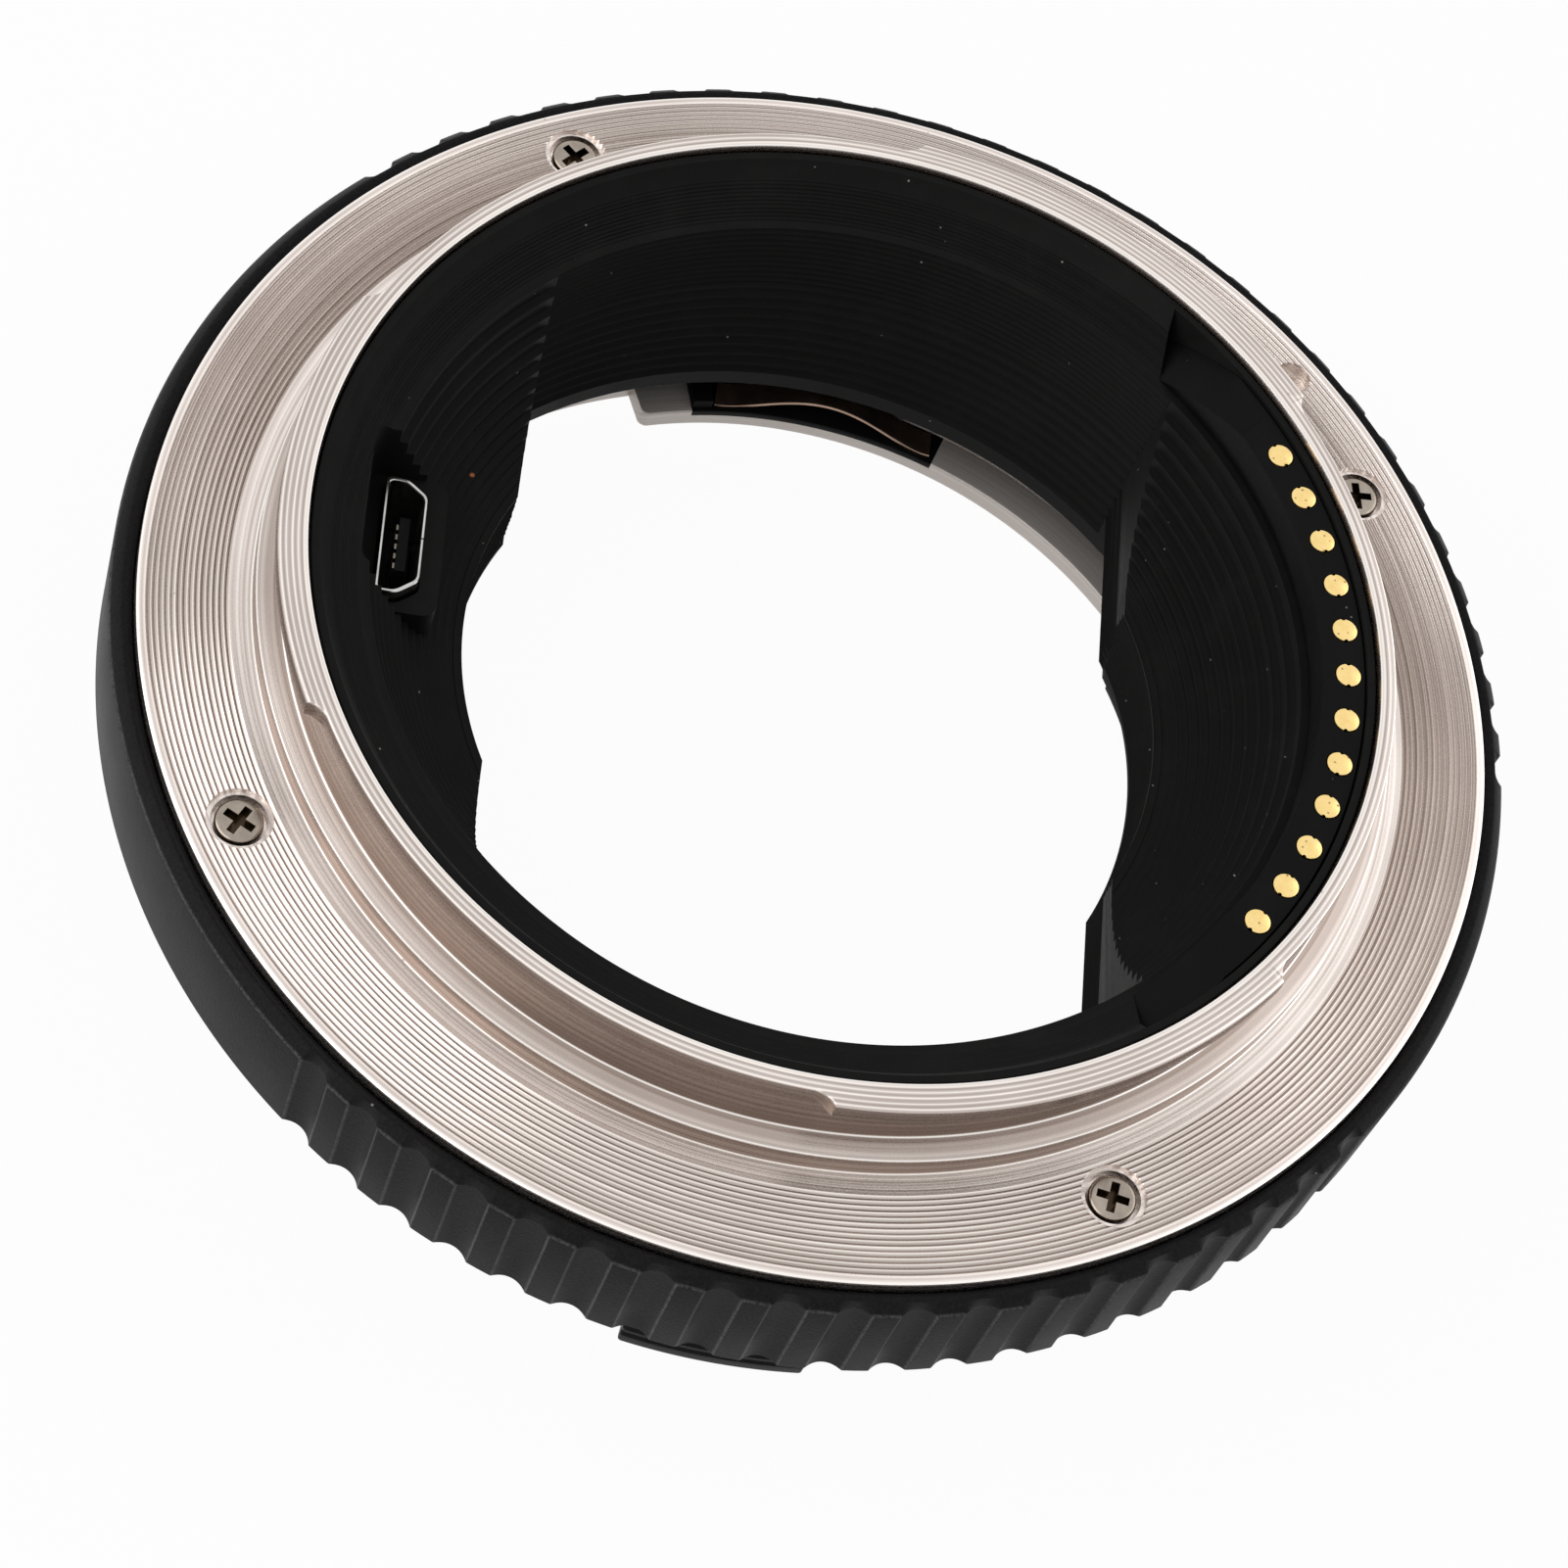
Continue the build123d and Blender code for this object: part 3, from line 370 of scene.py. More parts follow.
class Signal:
    """A number that varies over a surface, with the usual operators."""

    def __init__(self, tree, socket):
        self.tree = tree
        self.socket = socket

    def math(self, operation, *others, first=None, clamp=False):
        node = self.tree.nodes.new("ShaderNodeMath")
        node.operation = operation
        node.use_clamp = clamp
        values = [self] + list(others) if first is None else [first, self]
        for socket, value in zip(node.inputs, values):
            if isinstance(value, Signal):
                self.tree.links.new(value.socket, socket)
            else:
                socket.default_value = value
        return Signal(self.tree, node.outputs[0])

    def __add__(self, other):
        return self.math("ADD", other)

    __radd__ = __add__

    def __sub__(self, other):
        return self.math("SUBTRACT", other)

    def __rsub__(self, other):
        return self.math("SUBTRACT", first=other)

    def __mul__(self, other):
        return self.math("MULTIPLY", other)

    __rmul__ = __mul__

    def __pow__(self, other):
        return self.math("POWER", other)

    def rising(self, low, high):
        """0 below low, 1 above high and even between them."""
        return ((self - low) * (1.0 / (high - low))).math("ADD", 0.0, clamp=True)


class Finish:
    """A material's node tree, with one method for every kind of node."""

    def __init__(self, name):
        self.material = bpy.data.materials.new(name)
        self.material.use_nodes = True
        self.tree = self.material.node_tree
        self.shader = self.tree.nodes["Principled BSDF"]

    def fill(self, node, sockets):
        """Sets or links a node's sockets, which go by name with _ for a space, or by number."""
        for key, value in sockets.items():
            socket = node.inputs[key.replace("_", " ") if isinstance(key, str) else key]
            if isinstance(value, Signal):
                self.tree.links.new(value.socket, socket)
            elif isinstance(value, bpy.types.NodeSocket):
                self.tree.links.new(value, socket)
            elif isinstance(value, tuple):
                socket.default_value = (*value, 1.0)
            else:
                socket.default_value = value

    def node(self, kind, settings, sockets):
        made = self.tree.nodes.new(kind)
        for key, value in settings.items():
            setattr(made, key, value)
        self.fill(made, sockets)
        return made

    def signal(self, socket):
        return Signal(self.tree, socket)

    def place(self):
        """Object coordinates in millimetres."""
        raw = self.node("ShaderNodeTexCoord", {}, {}).outputs["Object"]
        sockets = {"Vector": raw, "Scale": 1.0 / MM}
        return self.node("ShaderNodeVectorMath", {"operation": "SCALE"}, sockets).outputs["Vector"]

    def parts(self, vector):
        split = self.node("ShaderNodeSeparateXYZ", {}, {"Vector": vector})
        return [self.signal(output) for output in split.outputs]

    def noise(self, vector, scale, detail=2.0, roughness=0.5):
        sockets = {"Vector": vector, "Scale": scale, "Detail": detail, "Roughness": roughness}
        return self.signal(self.node("ShaderNodeTexNoise", {}, sockets).outputs[0])

    def line_noise(self, value, scale, detail=2.0, roughness=0.5):
        """Noise along one number, for the fine lines that a turning tool leaves."""
        sockets = {"W": value, "Scale": scale, "Detail": detail, "Roughness": roughness}
        return self.signal(self.node("ShaderNodeTexNoise", {"noise_dimensions": "1D"}, sockets).outputs[0])

    def specks(self, vector, scale, size):
        """1 in small round spots, one in each cell of a scattered pattern, and 0 elsewhere."""
        made = self.node("ShaderNodeTexVoronoi", {}, {"Vector": vector, "Scale": scale})
        return 1.0 - self.signal(made.outputs["Distance"]).rising(size * 0.6, size)

    def mixed(self, factor, first, second):
        """Colour between two colours."""
        return self.node("ShaderNodeMix", {"data_type": "RGBA"}, {0: factor, 6: first, 7: second}).outputs[2]

    def bump(self, height, depth, under=None):
        """Normal of a relief whose height 1 stands for a depth in millimetres."""
        sockets = {"Height": height, "Strength": 1.0, "Distance": depth * MM}
        if under is not None:
            sockets["Normal"] = under
        return self.node("ShaderNodeBump", {}, sockets).outputs["Normal"]

    def surface(self, **sockets):
        self.fill(self.shader, sockets)
        return self.material


def turned_metal(name, colour, dark, roughness, line_depth, grooved=False, edges=(), blackened=None):
    """Plated metal with fine turned lines, which follow radius plus height, so that they run round the
    axis on faces, cones and walls alike. The flange's grooves, and rings on the rim's top, are painted
    dark as shade in their hollows and bright as highlights on their crests, the walls of the spigot and
    the neck are painted darker as shade, the listed edges (radius, height) get painted highlights, and
    beyond a blackened radius and above its height the metal is painted black."""
    finish = Finish(name)
    place = finish.place()
    x, y, z = finish.parts(place)
    out = (x * x + y * y) ** 0.5
    lines = finish.line_noise(out + z, 9.0, 3.0, 0.62)
    bands = finish.line_noise(out + z, 3.2, 3.0, 0.6)
    clouds = finish.noise(place, 0.12, 2.0)
    grit = finish.noise(place, 9.0, 2.0, 0.6)
    tone = (0.8 * bands + 0.2 * clouds).rising(0.36, 0.64)
    dirt = finish.specks(place, 0.55, 0.06) * finish.noise(place, 0.4, 1.0).rising(0.56, 0.6)
    base = finish.mixed(tone, dark, colour)
    if grooved:
        wave = ((out - land) * (math.pi / groove_pitch)).math("SINE").math("ABSOLUTE")
        inside = out.rising(land, land + 0.05) * (1.0 - out.rising(plate_radius - 0.55, plate_radius - 0.5))
        inside = inside * z.rising(camera_face - 0.3, camera_face - 0.2)
        inside = inside * (1.0 - z.rising(camera_face + 0.02, camera_face + 0.05))
        # Painted shade and highlight: where this mask is set, on the flange's grooves and on the rim's top, hollows
        # are painted dark and crests bright
        wear_and_painted_light = inside + z.rising(rim_top - 0.12, rim_top - 0.06) * 0.7
        # Painted shade in the grooves' hollows
        base = finish.mixed(wear_and_painted_light * wave.rising(0.4, 0.95) * 0.62, base, (0.24, 0.2, 0.18))
        # Painted highlight on the grooves' crests
        base = finish.mixed(wear_and_painted_light * (1.0 - wave.rising(0.1, 0.42)) * 0.8, base, (1.0, 0.95, 0.91))
        # Painted shade: the walls between the face and the rim's top are multiplied darker, the pilot's top step only
        # half as much
        step = z.rising(pilot_top - 0.12, pilot_top - 0.04)
        step = step * (1.0 - z.rising(pilot_top + 0.05, pilot_top + 0.2))
        walls = z.rising(camera_face + 0.1, camera_face + 0.2)
        walls = walls * (1.0 - z.rising(rim_top - 0.2, rim_top - 0.08))
        values = {0: walls * (1.0 - 0.5 * step), 6: base, 7: (0.42, 0.375, 0.35)}
        base = finish.node("ShaderNodeMix", {"data_type": "RGBA", "blend_type": "MULTIPLY"}, values).outputs[2]
    # Painted highlight: thin bright rings at the listed edges, where light would catch them
    for radius, height in edges:
        aside, above = out - radius, z - height
        near = 1.0 - ((aside * aside + above * above) ** 0.5).rising(0.05, 0.1)
        base = finish.mixed(near * 0.8, base, (1.0, 0.96, 0.92))
    base = finish.mixed(dirt * 0.5, base, (0.3, 0.26, 0.23))
    metallic, rough = 1.0, roughness + 0.1 * (grit - 0.5) + 0.05 * (tone - 0.5)
    if blackened:
        black = out.rising(blackened[0], blackened[0] + 0.04) * z.rising(blackened[1], blackened[1] + 0.04)
        base = finish.mixed(black, base, (0.006, 0.006, 0.006))
        metallic, rough = 0.5 - black * 0.5, rough + black * 0.2
        finish.surface(Specular_IOR_Level=0.1)
    return finish.surface(
        Base_Color=base,
        Metallic=metallic,
        Roughness=rough,
        Normal=finish.bump(grit, 0.0012, finish.bump(lines, line_depth)),
    )


def plain_metal(name, colour, roughness, grain=0.003, shadow_below=None):
    """Plated or sprung metal with a fine grain and faint clouds of tarnish. Below a height, as in the
    recess of a screw, it is painted dark as shade."""
    finish = Finish(name)
    place = finish.place()
    clouds = finish.noise(place, 0.8, 3.0, 0.6)
    grit = finish.noise(place, 6.0, 3.0, 0.6)
    duller = tuple(0.72 * channel for channel in colour)
    base = finish.mixed(clouds.rising(0.35, 0.7), duller, colour)
    if shadow_below:
        z = finish.parts(place)[2]
        # Painted shade: below the height the colour goes dark brown, as in the screw's recess
        base = finish.mixed(z.rising(shadow_below - 0.2, shadow_below), (0.05, 0.035, 0.022), base)
    return finish.surface(
        Base_Color=base,
        Metallic=1.0,
        Roughness=roughness + 0.14 * (clouds - 0.5),
        Normal=finish.bump(grit, grain),
    )


def gilt(name):
    """Gold plate, a little worn, with a few dark specks of dirt."""
    finish = Finish(name)
    place = finish.place()
    wear = finish.noise(place, 1.6, 4.0, 0.65)
    dirt = finish.specks(place, 2.2, 0.2)
    base = finish.mixed(wear.rising(0.4, 0.75), (0.96, 0.72, 0.31), (0.88, 0.62, 0.23))
    return finish.surface(
        Base_Color=finish.mixed(dirt * 0.7, base, (0.2, 0.12, 0.05)),
        Metallic=1.0,
        Roughness=0.24 + 0.2 * (wear - 0.5) + 0.25 * dirt,
        Normal=finish.bump(wear, 0.01),
    )


def blasted_black(name, colour, roughness, grain, dust, edge=0.0):
    """Black anodised metal, blasted to a fine grain, with a little dust. With an edge radius the
    anodising is worn light just inside that radius."""
    finish = Finish(name)
    place = finish.place()
    grit = finish.noise(place, 5.5, 3.0, 0.7)
    clouds = finish.noise(place, 0.25)
    specks = finish.specks(place, 0.5, 0.05) * finish.noise(place, 0.7, 1.0).rising(0.58, 0.62)
    lighter = tuple(2.6 * channel for channel in colour)
    base = finish.mixed(grit.rising(0.4, 0.75) * 0.7 + clouds * 0.15, colour, lighter)
    if edge:
        x, y, z = finish.parts(place)
        out = (x * x + y * y) ** 0.5
        wear_and_painted_light = out.rising(edge - 0.16, edge - 0.07) * (1.0 - out.rising(edge - 0.02, edge - 0.006))
        base = finish.mixed(wear_and_painted_light * grit.rising(0.25, 0.6) * 0.65, base, (0.13, 0.13, 0.13))
    return finish.surface(
        Base_Color=finish.mixed(specks * dust, base, (0.5, 0.49, 0.47)),
        Roughness=roughness + 0.12 * (clouds - 0.5),
        Specular_IOR_Level=0.055,
        Normal=finish.bump(grit, grain),
    )


def moulded_black(name, colour, roughness, dust, dot=None):
    """Matt black moulding with a soft grain, light dust caught on it and a tiny copper dot at a place."""
    finish = Finish(name)
    place = finish.place()
    grain = finish.noise(place, 3.5, 4.0, 0.6)
    clouds = finish.noise(place, 0.3, 3.0, 0.6)
    specks = finish.specks(place, 0.9, 0.07) * finish.noise(place, 0.5).rising(0.56, 0.6)
    film = clouds.rising(0.5, 0.8)
    lighter = tuple(1.9 * channel for channel in colour)
    base = finish.mixed(specks * dust, finish.mixed(film * 0.6, colour, lighter), (0.6, 0.58, 0.55))
    if dot:
        x, y, z = [part - middle for part, middle in zip(finish.parts(place), dot)]
        away = (x * x + y * y + z * z) ** 0.5
        base = finish.mixed(1.0 - away.rising(0.1, 0.18), base, (0.5, 0.17, 0.07))
    return finish.surface(
        Base_Color=base,
        Roughness=roughness + 0.15 * (grain - 0.5) + 0.1 * film,
        Specular_IOR_Level=0.06,
        Normal=finish.bump(grain, 0.012),
    )


def moulded(name, colour, roughness):
    """Plain moulding with a fine grain."""
    finish = Finish(name)
    grain = finish.noise(finish.place(), 4.0, 3.0, 0.6)
    lighter = tuple(1.25 * channel for channel in colour)
    return finish.surface(
        Base_Color=finish.mixed(grain, colour, lighter),
        Roughness=roughness + 0.1 * (grain - 0.5),
        Specular_IOR_Level=0.12,
        Normal=finish.bump(grain, 0.006),
    )


# Edges (radius, height) of the camera-side bayonet that get painted highlights
painted_highlight_edges = ((pilot - 0.03, pilot_top - 0.03), (neck + 0.02, pilot_top + 0.28), (pilot + 0.03, camera_face),
                  (plate_radius - 0.1, camera_face - 0.05), (rim_bore + 0.12, rim_top))

interior_black = (0.01, 0.0098, 0.0096)
block_black = (0.005, 0.005, 0.005)

# What makes each finish, and the values that it takes
recipes = {
    "bayonet_metal": (turned_metal, (0.92, 0.84, 0.79), (0.56, 0.49, 0.45), 0.27, 0.01, True, painted_highlight_edges),
    "lens_ring_metal": (turned_metal, (0.7, 0.645, 0.61), (0.6, 0.545, 0.51), 0.5, 0.01, False, (),
                        (gap_radius - 0.05, lens_plate_top + 0.05)),
    "screw_nickel": (plain_metal, (0.44, 0.38, 0.32), 0.22, 0.003, camera_face - 0.32),
    "ring_screw_nickel": (plain_metal, (0.42, 0.39, 0.34), 0.22),
    "socket_steel": (plain_metal, (0.68, 0.67, 0.65), 0.22),
    "spring_bronze": (plain_metal, (0.42, 0.29, 0.22), 0.35),
    "bracket_steel": (plain_metal, (0.5, 0.5, 0.5), 0.35),
    "lock_pin_steel": (plain_metal, (0.72, 0.71, 0.7), 0.2),
    "coil_steel": (plain_metal, (0.5, 0.5, 0.5), 0.3),
    "gilt": (gilt,),
    "strip_gilt": (plain_metal, (0.3, 0.27, 0.22), 0.3),
    "pin_gilt": (gilt,),
    "barrel_black": (blasted_black, (0.0085, 0.0085, 0.009), 0.45, 0.035, 0.5, barrel_radius),
    "release_black": (blasted_black, (0.009, 0.009, 0.0095), 0.4, 0.015, 0.6),
    "baffle_plastic": (moulded_black, interior_black, 0.55, 0.6, copper_dot),
    "liner_plastic": (moulded_black, interior_black, 0.5, 0.6),
    "contact_block_plastic": (moulded_black, block_black, 0.4, 0.3),
    "lens_block_plastic": (moulded_black, block_black, 0.4, 0.3),
    "seat_plastic": (moulded_black, block_black, 0.4, 0.3),
    "socket_plastic": (moulded, (0.003, 0.003, 0.003), 0.6),
    "board_green": (moulded, (0.012, 0.07, 0.03), 0.35),
    "chip_black": (moulded, (0.02, 0.02, 0.02), 0.45),
    "mark_red": (moulded, (0.5, 0.02, 0.015), 0.25),
}
finishes = {name: make(name, *values) for name, (make, *values) in recipes.items()}

for entry in frame["record"]["subparts"]:
    node = frame["nodes"][entry["node"]]
    node.data.materials.clear()
    node.data.materials.append(finishes[entry["material_slot"]])


def finished(piece, slot, nodes, body="housing", smooth=32.0):
    """Shades a new piece, gives it its finish and says what it rides on and stands for."""
    piece.data.shade_smooth()
    piece.data.set_sharp_from_angle(angle=math.radians(smooth))
    piece.data.materials.clear()
    piece.data.materials.append(finishes[slot])
    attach(piece, body)
    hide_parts(*nodes)
    return piece


# Camera-side bayonet ring

lug_corner = cutter_corner(neck + lug_cutter, lug_radius, lug_cutter)


def lug_reach(angles):
    """Outer radius at the rim: the lug's, the neck's in the gaps, and the cutter's arc between them."""
    away = away_from(angles, lug_centres)
    off = np.radians(np.clip(lug_span / 2 + lug_corner - away, 0, lug_corner))
    arc = cutter_reach(neck + lug_cutter, lug_cutter, off)
    return np.where(away <= lug_span / 2, lug_radius, np.minimum(arc, lug_radius))


def bayonet_ring():
    """Turned profile whose face has the grooves z = face - depth sin(pi t)^1.3 over each pitch, and
    whose upper edge follows the lugs' reach."""
    ends = np.concatenate([lug_centres + lug_span / 2, lug_centres - lug_span / 2])
    close = ends[:, None] + np.repeat([1, -1], 3)[:, None] * np.linspace(-0.05, lug_corner + 0.05, 16)
    angles = close_angles(close, 0.6)
    t = np.linspace(0, groove_count, 6 * groove_count + 1)
    groove_radii = (land + t * groove_pitch)[::-1]
    groove_heights = (camera_face - groove_depth * np.abs(np.sin(np.pi * t)) ** 1.3)[::-1]
    lower = [
        (rim_bore, plate_under), (plate_radius, plate_under), (plate_radius, camera_face - 0.25),
        (plate_radius - 0.05, camera_face - 0.1), (plate_radius - 0.22, camera_face),
    ]
    lower += list(zip(groove_radii, groove_heights))
    lower += [
        (pilot + 0.1, camera_face), (pilot + 0.02, camera_face + 0.02), (pilot, camera_face + 0.1),
        (pilot, pilot_top - 0.1), (pilot - 0.03, pilot_top - 0.03), (pilot - 0.1, pilot_top),
        (neck + 0.1, pilot_top + 0.24), (neck + 0.02, pilot_top + 0.28), (neck, pilot_top + 0.4),
        (neck, lug_foot),
    ]
    rim = [(0.0, lug_foot), (0.0, rim_top - 0.13), (-0.04, rim_top - 0.04), (-0.13, rim_top)]
    bore = [(rim_bore + 0.3, rim_top), (rim_bore + 0.1, rim_top - 0.05), (rim_bore, rim_top - 0.25)]
    profile = np.array(lower + rim + bore)
    radii = np.tile(profile[:, 0], (len(angles), 1))
    band = slice(len(lower), len(lower) + len(rim))
    radii[:, band] += np.maximum(lug_reach(angles), neck + 0.01)[:, None]
    ring = turned_ring("bayonet_ring", radii, profile[:, 1], angles)
    cutters = [hole(lock_hole_radius, camera_face - 1.2, camera_face, lock_hole_circle, lock_hole_angle, 0.08)]
    for angle in screw_angles:
        cutters.append(hole(screw_recess, camera_face - 0.3, camera_face, screw_circle, angle, 0.05))
        cutters.append(hole(counterbore, screw_seat, camera_face + 0.3, screw_circle, angle))
        cutters.append(hole(screw_hole, plate_under - 1, camera_face, screw_circle, angle))
    return finished(combine(ring, cutters), "bayonet_metal", ["camera_bayonet"])


def cross(low, high, circle, angle, turn):
    """Cutter of a cross recess."""
    bars = [prism("bar", placed(box_outline(*size), circle, angle, turn), low, high)
            for size in ((cross_span, cross_width), (cross_width, cross_span))]
    return combine(bars[0], [bars[1]], "UNION")


def bayonet_screw(number, angle):
    """Head with a rounded edge, h = 0.18 sin t, its cross recess and the shank below it."""
    t = np.linspace(0, np.pi / 2, 6)
    edge = list(zip(head_radius - 0.22 * (1 - np.cos(t)), screw_seat + 0.55 + 0.18 * np.sin(t)))
    shank = [(0, screw_seat - 5.0), (shank_radius, screw_seat - 5.0), (shank_radius, screw_seat)]
    profile = shank + [(head_radius, screw_seat)] + edge + [(0, screw_seat + 0.75)]
    screw = turned_pin(f"bayonet_screw_{number}_turned", profile, screw_circle, angle, 56)
    combine(screw, [cross(screw_seat + 0.12, screw_seat + 1.5, screw_circle, angle, 17.0 * number)])
    return finished(screw, "screw_nickel", [f"bayonet_screw_{number}"])


# Barrel

def flute_reach(angles):
    """Radius of the flutes' surface, and one well outside the barrel between the flutes."""
    off = np.radians(away_from(angles, flute_middles))
    fluted = flute_circle * np.sin(off) < flute_radius
    return np.where(fluted, cutter_reach(flute_circle, flute_radius, off), 44.0)


def barrel_skin():
    """Turned profile which the flutes cut over the fluted band. Their edges are eased: the radius is
    (a + b - sqrt((a - b)^2 + k^2)) / 2 of the profile's radius a and the flutes' radius b."""
    edge = cutter_corner(flute_circle, barrel_radius, flute_radius)
    beside = edge + np.array([-0.16, -0.08, -0.03, 0.03, 0.08, 0.14, 0.22])
    over = np.concatenate([np.linspace(-edge, edge, 15), beside, -beside])
    close = flute_middles[:, None] + over[None, :]
    angles = close_angles(close)
    profile = np.array([
        (ring_bore, lens_plate_top), (ring_seat, lens_plate_top), (ring_seat, 0.35), (34.75, 0.35), (34.93, 0.4),
        (foot_radius - 0.12, foot_height - 0.15), (foot_radius, foot_height + 0.1), (shoulder, grip_foot),
        (barrel_radius - 0.12, grip_foot), (barrel_radius - 0.03, grip_foot + 0.03),
        (barrel_radius, grip_foot + 0.12), (barrel_radius, 12.5), (barrel_radius, barrel_top - 0.72),
        (barrel_radius - 0.02, barrel_top - 0.64), (barrel_radius - 0.62, barrel_top - 0.03),
        (barrel_radius - 0.7, barrel_top), (plate_seat + 0.47, barrel_top),
        (plate_seat + 0.42, barrel_top - 0.03), (plate_seat, barrel_top - 0.45), (plate_seat, plate_under),
        (ring_bore, plate_under),
    ])
    band = (profile[:, 1] >= grip_foot) & (profile[:, 0] > plate_seat)
    reach = flute_reach(angles)[:, None]
    plain = np.broadcast_to(profile[None, :, 0], (len(angles), len(profile)))
    cut = (plain + reach - np.sqrt((plain - reach) ** 2 + 0.05**2)) / 2
    skin = turned_ring("barrel_skin", np.where(band[None, :], cut, plain), profile[:, 1], angles)
    room = [(29, floor_top), (35.664, floor_top), (36.6, room_step), (room_radius, room_step),
            (room_radius, room_top), (29, room_top)]
    cavity = plain_ring("cavity", room, 2.0)
    combine(cavity, [hole(boss_radius, floor_top - 0.5, 17, screw_circle, angle) for angle in screw_angles])
    slot = sector_outline(34.2, 46.0, release_angle - slot_half, release_angle + slot_half)
    cutters = [cavity, prism("slot", slot, slot_foot, grip_foot), hole(1.5, 1, 6, lock_pin_circle, release_angle)]
    cutters += [hole(screw_hole, 10.5, 17, screw_circle, angle) for angle in screw_angles]
    cutters += [hole(screw_hole, 1, 3.86, ring_screw_circle, angle) for angle in ring_screw_angles]
    return finished(combine(skin, cutters), "barrel_black", ["barrel"])


# Light baffle

def dish_height(radius):
    """Height of the dish: floor + drop s^bow, where s is the share of the way from its inner edge."""
    return dish_floor + (ledge - dish_floor) * ((radius - dish_radius) / (throat - dish_radius)) ** dish_bow


def ridged(edge, low, pitch, count, depth=ridge_depth):
    """Wavy wall, edge + depth |sin(pi t)|^0.8 over each pitch, with six points to a ridge."""
    t = np.linspace(0, count, 6 * count + 1)
    return edge + depth * np.abs(np.sin(np.pi * t)) ** 0.8, low + t * pitch


def window_cutter():
    """Ridged round well between two flat ridged sides, with a round bulge through both sides."""
    fine_low = ledge - fine_ridges * fine_pitch
    coarse = ridged(throat, liner_top, (fine_low - liner_top) / coarse_ridges, coarse_ridges)
    fine = ridged(throat, fine_low, fine_pitch, fine_ridges, 0.24)
    radii = np.concatenate([[16.0, throat], coarse[0], fine[0][1:], [throat, 16.0]])
    heights = np.concatenate([[floor_top, floor_top], coarse[1], fine[1][1:], [rim_top + 1, rim_top + 1]])
    well = plain_ring("well", np.column_stack([radii, heights]))
    ridge_y, ridge_z = ridged(window_half, window_floor, window_pitch, window_ridges)
    side_y = np.concatenate([[window_half], ridge_y, [window_half + 0.25]])
    side_z = np.concatenate([[floor_top - 1], ridge_z, [rim_top + 2]])
    flats = np.vstack([np.column_stack([side_y, side_z]), np.column_stack([-side_y, side_z])[::-1]])
    combine(well, [prism("flats", flats, -45, 45, True)], "INTERSECT")
    bulge_wall = np.column_stack(ridged(dish_radius, window_floor + 0.3, 0.54, 9, 0.18))
    bulge = np.vstack([[(15, floor_top - 1), (dish_radius, floor_top - 1)], bulge_wall,
                       [(dish_radius, rim_top + 2), (15, rim_top + 2)]])
    foot = [(15, floor_top), (throat - 0.01, floor_top), (throat - 0.01, window_floor), (15, window_floor)]
    return combine(well, [plain_ring("bulge", bulge), plain_ring("foot", foot)], "UNION")


def dish_room():
    """Room above the dish: a stair with eased treads, the ledge, and a finely ribbed funnel."""
    tread = dish_radius + (throat - dish_radius) / dish_steps * np.arange(dish_steps + 1)
    height = dish_height(tread)
    stair = [(tread[0], dish_floor)]
    for near, far, low, high in zip(tread[:-1], tread[1:], height[:-1], height[1:]):
        stair += [(near + 0.05, low), (far - 0.06, low), (far - 0.015, low + 0.02), (far, low + 0.07)]
        stair += [(far, high - 0.04)]
    u = np.linspace(0.04, 0.96, 45)
    ribs = 0.035 * np.sin(u * 11 * 2 * np.pi)
    slope = list(zip(block_inner + 2.0 * u + 0.6 * ribs, ledge + 1.6 * u - 0.8 * ribs))
    profile = [(16, dish_floor)] + stair + [(throat + 0.04, ledge), (block_inner, ledge)] + slope
    profile += [(29.4, 22.2), (funnel_mouth - 0.07, 23.24), (funnel_mouth, baffle_top + 0.02),
                (funnel_mouth, rim_top + 2), (16, rim_top + 2)]
    return plain_ring("room", profile)


def socket_outline(grow=0.0):
    """Flat tube's outline with its wide side outwards and two cut corners inwards."""
    deep, wide = 1.225 + grow, 3.85 + grow
    corners = [(deep, -wide), (deep, wide), (1.2 - deep, wide), (-deep, wide - 0.95), (-deep, 0.95 - wide),
               (1.2 - deep, -wide)]
    return beside_socket(rounded(corners, 0.35))


def beside_socket(outline):
    """Outline about the socket's middle, its x in the direction that the socket's wide side faces."""
    return placed(outline, socket_circle, socket_angle, socket_facing - socket_angle)


